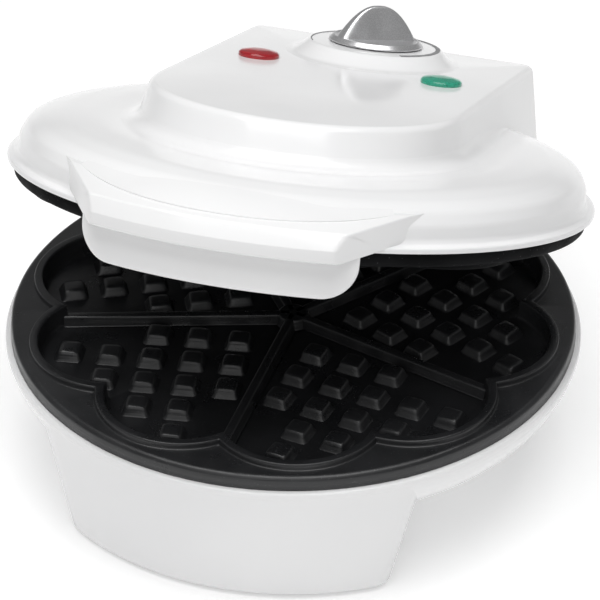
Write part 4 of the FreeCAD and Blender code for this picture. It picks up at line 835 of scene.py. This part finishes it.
# The foot's height on the dome is settled in rounds, as at the pedestal.
foot_high = np.full((1, edge_rows.shape[1]), 73.0)
for _ in range(5):
    foot = box_outline(foot_high, 0.0)
    foot_high = over_dome(np.hypot(foot[..., 0], foot[..., 1]))
foot = box_outline(foot_high, 0.0)[0, columns]
along = np.gradient(foot[:, :2], axis=0)
outward = np.stack([along[:, 1], -along[:, 0]], 1) / np.linalg.norm(along, axis=1, keepdims=True)
ends = np.minimum(np.arange(len(columns)), np.arange(len(columns))[::-1])
width = COVE * np.clip(ends / COVE_FADE, 0.04, 1.0)
foot_high[0, columns] += width * COVE_RISE
wall_top = box_outline(foot_high, 0.0)[0, columns]
dome_plan = foot[:, :2] + outward * width[:, None]
dome_spot = np.column_stack([dome_plan, over_dome(np.hypot(*dome_plan.T)) + 0.02])
hidden = foot - np.column_stack([outward, np.full(len(foot), COVE_SINK)])
cove_rows = np.concatenate([swept(wall_top, foot, dome_spot, 9), hidden[None]])
cove_shell = capped(cove_rows.transpose(1, 0, 2))
print("cove foot between", foot[:, 2].min().round(1), "and", foot[:, 2].max().round(1))

# %% [markdown]
# The grip is a turned profile between two slanting ends. On the slanting plane
# r sin a + k r cos a is the same everywhere, which gives the last angle for every radius. Near the
# ends the profile shrinks along a quarter circle, so the ends are eased.

# %% Grip
LIP_HALF, LIP_ALONG, LIP_LOW, SLANT = 38.4, 98.26, 57.1, 0.65
CREASE, GRIP_ROOT = (102.6, 66.7), (91.6, 70.6)
GRIP_HUB = (97.5, 62.5)
GRIP_STEPS, END_EASE = 90, 0.7


def last_angle(radius):
    """Angle at which the slanting end cuts the circle of a radius."""
    share = (LIP_HALF + SLANT * LIP_ALONG) / (radius * math.hypot(1, SLANT))
    return np.arcsin(np.minimum(share, 1.0)) - math.atan(SLANT)


def from_front(radius, angle, height):
    """Points about the plates' axis, with the angle counted from the front."""
    x, y = radius * np.sin(angle), -radius * np.cos(angle)
    return np.stack([x, y, height + 0 * x], -1)


visor_profile = tidy_profile(eased([
    (89.2, 61.6), (94.6, 60.9), (105.45, LIP_LOW), (105.45, 61.7), (103.2, 66.2), CREASE, GRIP_ROOT,
    (89.2, 71.0),
], [0, 1.0, 1.1, 1.0, 0.5, 0.4, 1.0, 0], 7))
quarter = np.linspace(0, np.pi / 2, 4)
back_off, insets = END_EASE * (1 - np.cos(quarter)), END_EASE * (1 - np.sin(quarter))


def visor_row(share, back, inset=0.0):
    """The profile, set in by a little, at a share of the way to an end that is set back."""
    radius, height = shrunk(visor_profile, inset).T
    return from_front(radius, share * (last_angle(radius) - back / radius), height)


def hub_row(sign):
    """All points of the profile at one spot of a slanting end."""
    radius, height = GRIP_HUB
    spot = from_front(radius, sign * last_angle(radius), height)
    return np.tile(spot, (len(visor_profile), 1))


near = [visor_row(-1, back, inset) for back, inset in zip(back_off, insets)]
middle = [visor_row(share, END_EASE) for share in np.linspace(-1, 1, GRIP_STEPS)[1:-1]]
far = [visor_row(1, back, inset) for back, inset in zip(back_off[::-1], insets[::-1])]
visor_shell = sheet_of(np.array([hub_row(-1), *near, *middle, *far, hub_row(1)]))
print("visor profile of", len(visor_profile), "points")

# %% [markdown]
# The dome runs out over the grip in a crescent brow. Its front edge bows out in the middle and meets
# the dome again at the grip's ends, and it stands a little proud of the grip, so it reads as a crease.
# Each column of the grid is a conic from the dome over a shoulder to that edge.

# %% Brow
BROW_END, BROW_STEPS = math.radians(33.0), 14
BROW_ROOT, BROW_REACH, BROW_DRAW, BROW_BOW = 82.0, 99.9, 8.6, 2.2
KNEE_SHARE, KNEE_SLOPE, BROW_PROUD, BROW_UNDER = 0.62, 0.24, 0.45, 67.0

share = np.linspace(-1, 1, 81)
fade = share ** 2
edge = BROW_REACH - BROW_DRAW * np.abs(share) ** BROW_BOW
knee = BROW_ROOT + (edge - BROW_ROOT) * KNEE_SHARE
root_high = over_dome(BROW_ROOT) - 0.05
knee_high = (1 - fade) * (root_high - KNEE_SLOPE * (knee - BROW_ROOT)) + fade * (over_dome(knee) - 0.1)
grip_slope = (GRIP_ROOT[1] - CREASE[1]) / (CREASE[0] - GRIP_ROOT[0])
edge_high = CREASE[1] + (CREASE[0] - edge) * grip_slope + BROW_PROUD * (1 - fade)
under_radius = [edge + 0.05, edge - 1.0, 0 * edge + BROW_ROOT]
under_high = [edge_high - 0.5, edge_high - 2.0, 0 * edge + BROW_UNDER]
brow_radius = np.concatenate([swept(BROW_ROOT, knee, edge, BROW_STEPS), under_radius])
brow_high = np.concatenate([swept(root_high, knee_high, edge_high, BROW_STEPS), under_high])
brow_rows = from_front(brow_radius, share * BROW_END, brow_high)
brow_shell = capped(brow_rows.transpose(1, 0, 2))
print("brow edge between", edge.min().round(1), "and", edge.max().round(1))

# %% [markdown]
# A tongue hangs below the lip. At each height it is a thin curved band, wide at the top and rounded
# off at its lower corners; the bands are stacked, and the first and the last close to a line.

# %% Tongue of the grip
TONGUE_LOW, TONGUE_HALF, TONGUE_CORNER = 45.2, 43.0, 11.0
TONGUE_FRONT, TONGUE_BACK, TONGUE_SWELL = (98.9, 99.8), 96.6, 1.2
TONGUE_STEPS, TONGUE_INSET = 72, 0.9
height = TONGUE_LOW + np.concatenate([[0, 0, 0.08, 0.3, 0.7, 1.2], np.linspace(1.8, 11.0, 12), [13.0, 15.6]])
round_off = np.concatenate([[1.0, 0.75, 0.5, 0.25, 0.08, 0.0], np.zeros(14)])
corner_rise = np.clip(TONGUE_LOW + TONGUE_CORNER - height, 0, TONGUE_CORNER)
half_width = TONGUE_HALF - TONGUE_CORNER + np.sqrt(TONGUE_CORNER ** 2 - corner_rise ** 2)
front = np.interp(height, [TONGUE_LOW, LIP_LOW], TONGUE_FRONT)
mid = ((front + TONGUE_BACK) / 2)[:, None]
thick = ((front - TONGUE_BACK) / 2 * (1 - round_off))[:, None]
front = mid + thick
bend = np.linspace(0, np.pi, 9)[1:-1]
sweep = np.linspace(-1, 1, TONGUE_STEPS)
reach = np.minimum(last_angle(front) - TONGUE_INSET / front, np.arcsin(half_width[:, None] / front))
end_swell = np.minimum(thick, TONGUE_SWELL) * np.sin(bend) / mid
off_mid = thick * np.concatenate([0 * sweep + 1, np.cos(bend), 0 * sweep - 1, -np.cos(bend)])
angle = np.concatenate([reach * sweep, reach + end_swell, -reach * sweep, -reach - end_swell], 1)
bands, closing = [from_front(radius, angle, height[:, None]) for radius in (mid + off_mid, mid)]
tongue_shell = sheet_of(np.concatenate([closing[:1], bands, closing[-1:]]))
print("tongue of", len(height), "bands")

# %% [markdown]
# The dial sits on a low mound. Its foot runs out on the panel in a cove, further to the front than to
# the back, where the panel ends, and its top edge is round.
# Behind, two ears reach down to the hinge rod between the skirt and the posts.

# %% Mound, ears and the lid as a piece
DIAL = (0.0, 81.5)
MOUND_ROOT, MOUND_FOOT, MOUND_TOP, MOUND_SHIFT = 87.5, 29.8, 92.8, 2.4
EAR_WIDTH, EAR_STARTS, EAR_HUB = 10.0, (-47.0, 37.0), (101.5, 60.0)

mound_profile = eased([
    (0, MOUND_ROOT), (MOUND_FOOT, MOUND_ROOT), (MOUND_FOOT, PANEL + 0.02), (27.2, PANEL + 0.35), (24.2, 91.5),
    (22.9, MOUND_TOP), (0, MOUND_TOP),
], [0, 0, 0, 4.0, 2.6, 1.6, 0], 7)
mound_points, mound_faces = turned(mound_profile, 200, DIAL)
mound_points[:, 1] -= MOUND_SHIFT * np.clip((MOUND_TOP - mound_points[:, 2]) / (MOUND_TOP - PANEL), 0, 1)
ear_profile = np.concatenate([knuckle(np.pi, 2 * np.pi), [(108.0, 75.0), (97.0, 75.0), (96.5, 66.0)]])
ears = [bar_of(ear_profile, first, first + EAR_WIDTH, EAR_HUB) for first in EAR_STARTS]
lid_shells = [dome_shell, box_shell, cove_shell, visor_shell, brow_shell, tongue_shell,
              (mound_points, mound_faces), *ears]
skin("lid_housing", lid_shells, on_lid, "lid", WHITE, ("lid_shell",))

# %% [markdown]
# Dial, lamps and scale.
# The knob is a flat disc with a bevelled rim and a fin to hold it by. From its broad side the fin is a
# bow, height = H (1 - (x / L)^n), and from its end it is a wedge. So each height has a slim oval
# whose length goes with u and whose height goes with 1 - u^n. The fin stands turned away from X, as
# somebody left it. The heat scale is a thin band that grows wider as the heat goes up.

# %% Knob
KNOB_LOW = 93.3
FIN_TURN = math.radians(41.0)
FIN_HALF, FIN_FOOT, FIN_TIP = 14.3, 3.6, 1.0
FIN_LOW, FIN_TOP, FIN_CREST = 1.2, 12.8, 0.9
FIN_BOW, FIN_OVAL = 2.2, 0.4


def dial_place(points):
    """Points of the dial, drawn about its own axis with the fin along X, set on the mound."""
    x, y, z = points.T
    c, s = math.cos(FIN_TURN), math.sin(FIN_TURN)
    return on_lid(np.column_stack([c * x - s * y + DIAL[0], s * x + c * y + DIAL[1], z + KNOB_LOW]))


disc_shell = turned(eased([(0, 0), (16.2, 0), (16.2, 0.4), (14.9, 1.75), (14.4, 1.8), (13.6, 1.5), (0, 1.5)],
                          [0, 0.1, 0.3, 0.4, 0.3, 1.5, 0], 6), 160)
u = np.concatenate([[1.0], np.linspace(1.0, 0.0, 44)])[:, None]
rise = 1 - u ** FIN_BOW
fin_high = FIN_LOW + (FIN_TOP - FIN_LOW) * rise
below_top = np.clip((FIN_TOP - fin_high) / FIN_CREST, 0, 1)
fin_thick = (FIN_FOOT + (FIN_TIP - FIN_FOOT) * rise) * np.sqrt(1 - (1 - below_top) ** 2)
fin_long = FIN_HALF * u
fin_long[0], fin_thick[0] = 0.0, 0.0
around = np.linspace(0, 2 * np.pi, 48, endpoint=False)
across, through = [np.sign(part) * np.abs(part) ** FIN_OVAL for part in (np.cos(around), np.sin(around))]
fin_x, fin_y = fin_long * across, fin_thick * through
fin_shell = sheet_of(np.stack([fin_x, fin_y, fin_high + 0 * fin_x], -1))
skin("heat_knob", [disc_shell, fin_shell], dial_place, "knob", SILVER, ("thermostat_knob",),
     crease=40.0)

# %% Heat scale
SCALE_RADIUS, SCALE_STEPS = 22.4, 130
SCALE_SPAN, SCALE_WIDTH = (-52, 208), (2.0, 0.35)
angle = np.radians(np.linspace(*SCALE_SPAN, SCALE_STEPS))[:, None]
width = np.linspace(*SCALE_WIDTH, SCALE_STEPS)[:, None]
section = np.array([(0.0, -0.4), (0.0, 0.10), (-0.08, 0.16), (-0.92, 0.16), (-1.0, 0.10), (-1.0, -0.4)])
radius = SCALE_RADIUS + section[:, 0] * width
scale_rows = np.stack([radius * np.cos(angle), radius * np.sin(angle), section[:, 1] + 0 * radius], -1)
skin("heat_scale", [capped(scale_rows)], lambda points: on_lid(points + [*DIAL, MOUND_TOP]), "lid", SCALE_INK,
     ("dial_ring",))

# %% [markdown]
# The two lamps have low domed lenses of dyed plastic. The bevel at the rim catches the light.

# %% Lamp lenses
LENS_ACROSS, LENS_ALONG = 31.8, 48.2
lens_profile = eased([(0, -0.3), (6.9, -0.3), (6.9, 1.1), (6.2, 1.7), (3.4, 2.25), (0, 2.4)],
                     [0, 0.1, 0.4, 0.9, 6.0, 0], 6)
for name, finish, x in (("red", RED_DYE, -LENS_ACROSS), ("green", GREEN_DYE, LENS_ACROSS)):
    skin(name + "_lamp_lens", [turned(lens_profile, 96)],
         lambda points, x=x: on_lid(points + [x, LENS_ALONG, PANEL]), "lid", finish,
         (name + "_lens",))

# %% [markdown]
# Floor and light.
# The floor is plain and pale, with a little glow of its own round the object so that it stays white.
# The light is that of a studio tent: most of it falls from a wide sheet overhead, a weaker sheet in
# front fills the walls, and a dim white surround keeps the shadows soft.

# %% Floor
FLOOR_HALF, GLOW, GLOW_FROM, GLOW_TO = 4.0, 0.27, 0.4, 1.0
floor_mesh = bpy.data.meshes.new("floor")
corners = [(x * FLOOR_HALF, y * FLOOR_HALF, 0) for x, y in ((-1, -1), (1, -1), (1, 1), (-1, 1))]
floor_mesh.from_pydata(corners, [], [(0, 1, 2, 3)])
FLOOR_FINISH = dressed("pale_floor", (0.80, 0.80, 0.80), (0.83, 0.83, 0.83), 4.0, (0.6, 0.7), 80.0, 0.00001,
                       Emission_Color=(1, 1, 1, 1))
floor_tree = FLOOR_FINISH.node_tree
floor_place = floor_tree.nodes.new("ShaderNodeTexCoord")
away = floor_tree.nodes.new("ShaderNodeVectorMath")
away.operation = "LENGTH"
floor_tree.links.new(floor_place.outputs["Object"], away.inputs[0])
glow = spread(floor_tree, away.outputs["Value"], GLOW, 0.0, GLOW_FROM, GLOW_TO, "LINEAR")
floor_tree.links.new(glow, floor_tree.nodes["Principled BSDF"].inputs["Emission Strength"])
floor_mesh.materials.append(FLOOR_FINISH)
floor = bpy.data.objects.new("floor", floor_mesh)
bpy.context.scene.collection.objects.link(floor)
print("floor", floor.dimensions)

# %% Light
SURROUND, LIGHT_AT = 0.22, (0, 0, 0.06)
world = bpy.data.worlds.new("studio_tent")
world.use_nodes = True
background = world.node_tree.nodes["Background"]
background.inputs["Color"].default_value = (1, 1, 1, 1)
background.inputs["Strength"].default_value = SURROUND
bpy.context.scene.world = world
bpy.context.scene.view_settings.view_transform = "Standard"

LAMPS = [
    ("overhead_sheet", (0.0, -0.1, 1.5), 1.4, 20.5),
    ("front_sheet", (0.2, -1.35, 1.25), 1.8, 7.4),
]
for name, spot, size, power in LAMPS:
    lamp_data = bpy.data.lights.new(name, "AREA")
    lamp_data.size = size
    lamp_data.energy = power
    lamp = bpy.data.objects.new(name, lamp_data)
    lamp.location = spot
    lamp.rotation_euler = aimed(spot, LIGHT_AT)
    bpy.context.scene.collection.objects.link(lamp)
print("lamps", [name for name, spot, size, power in LAMPS])
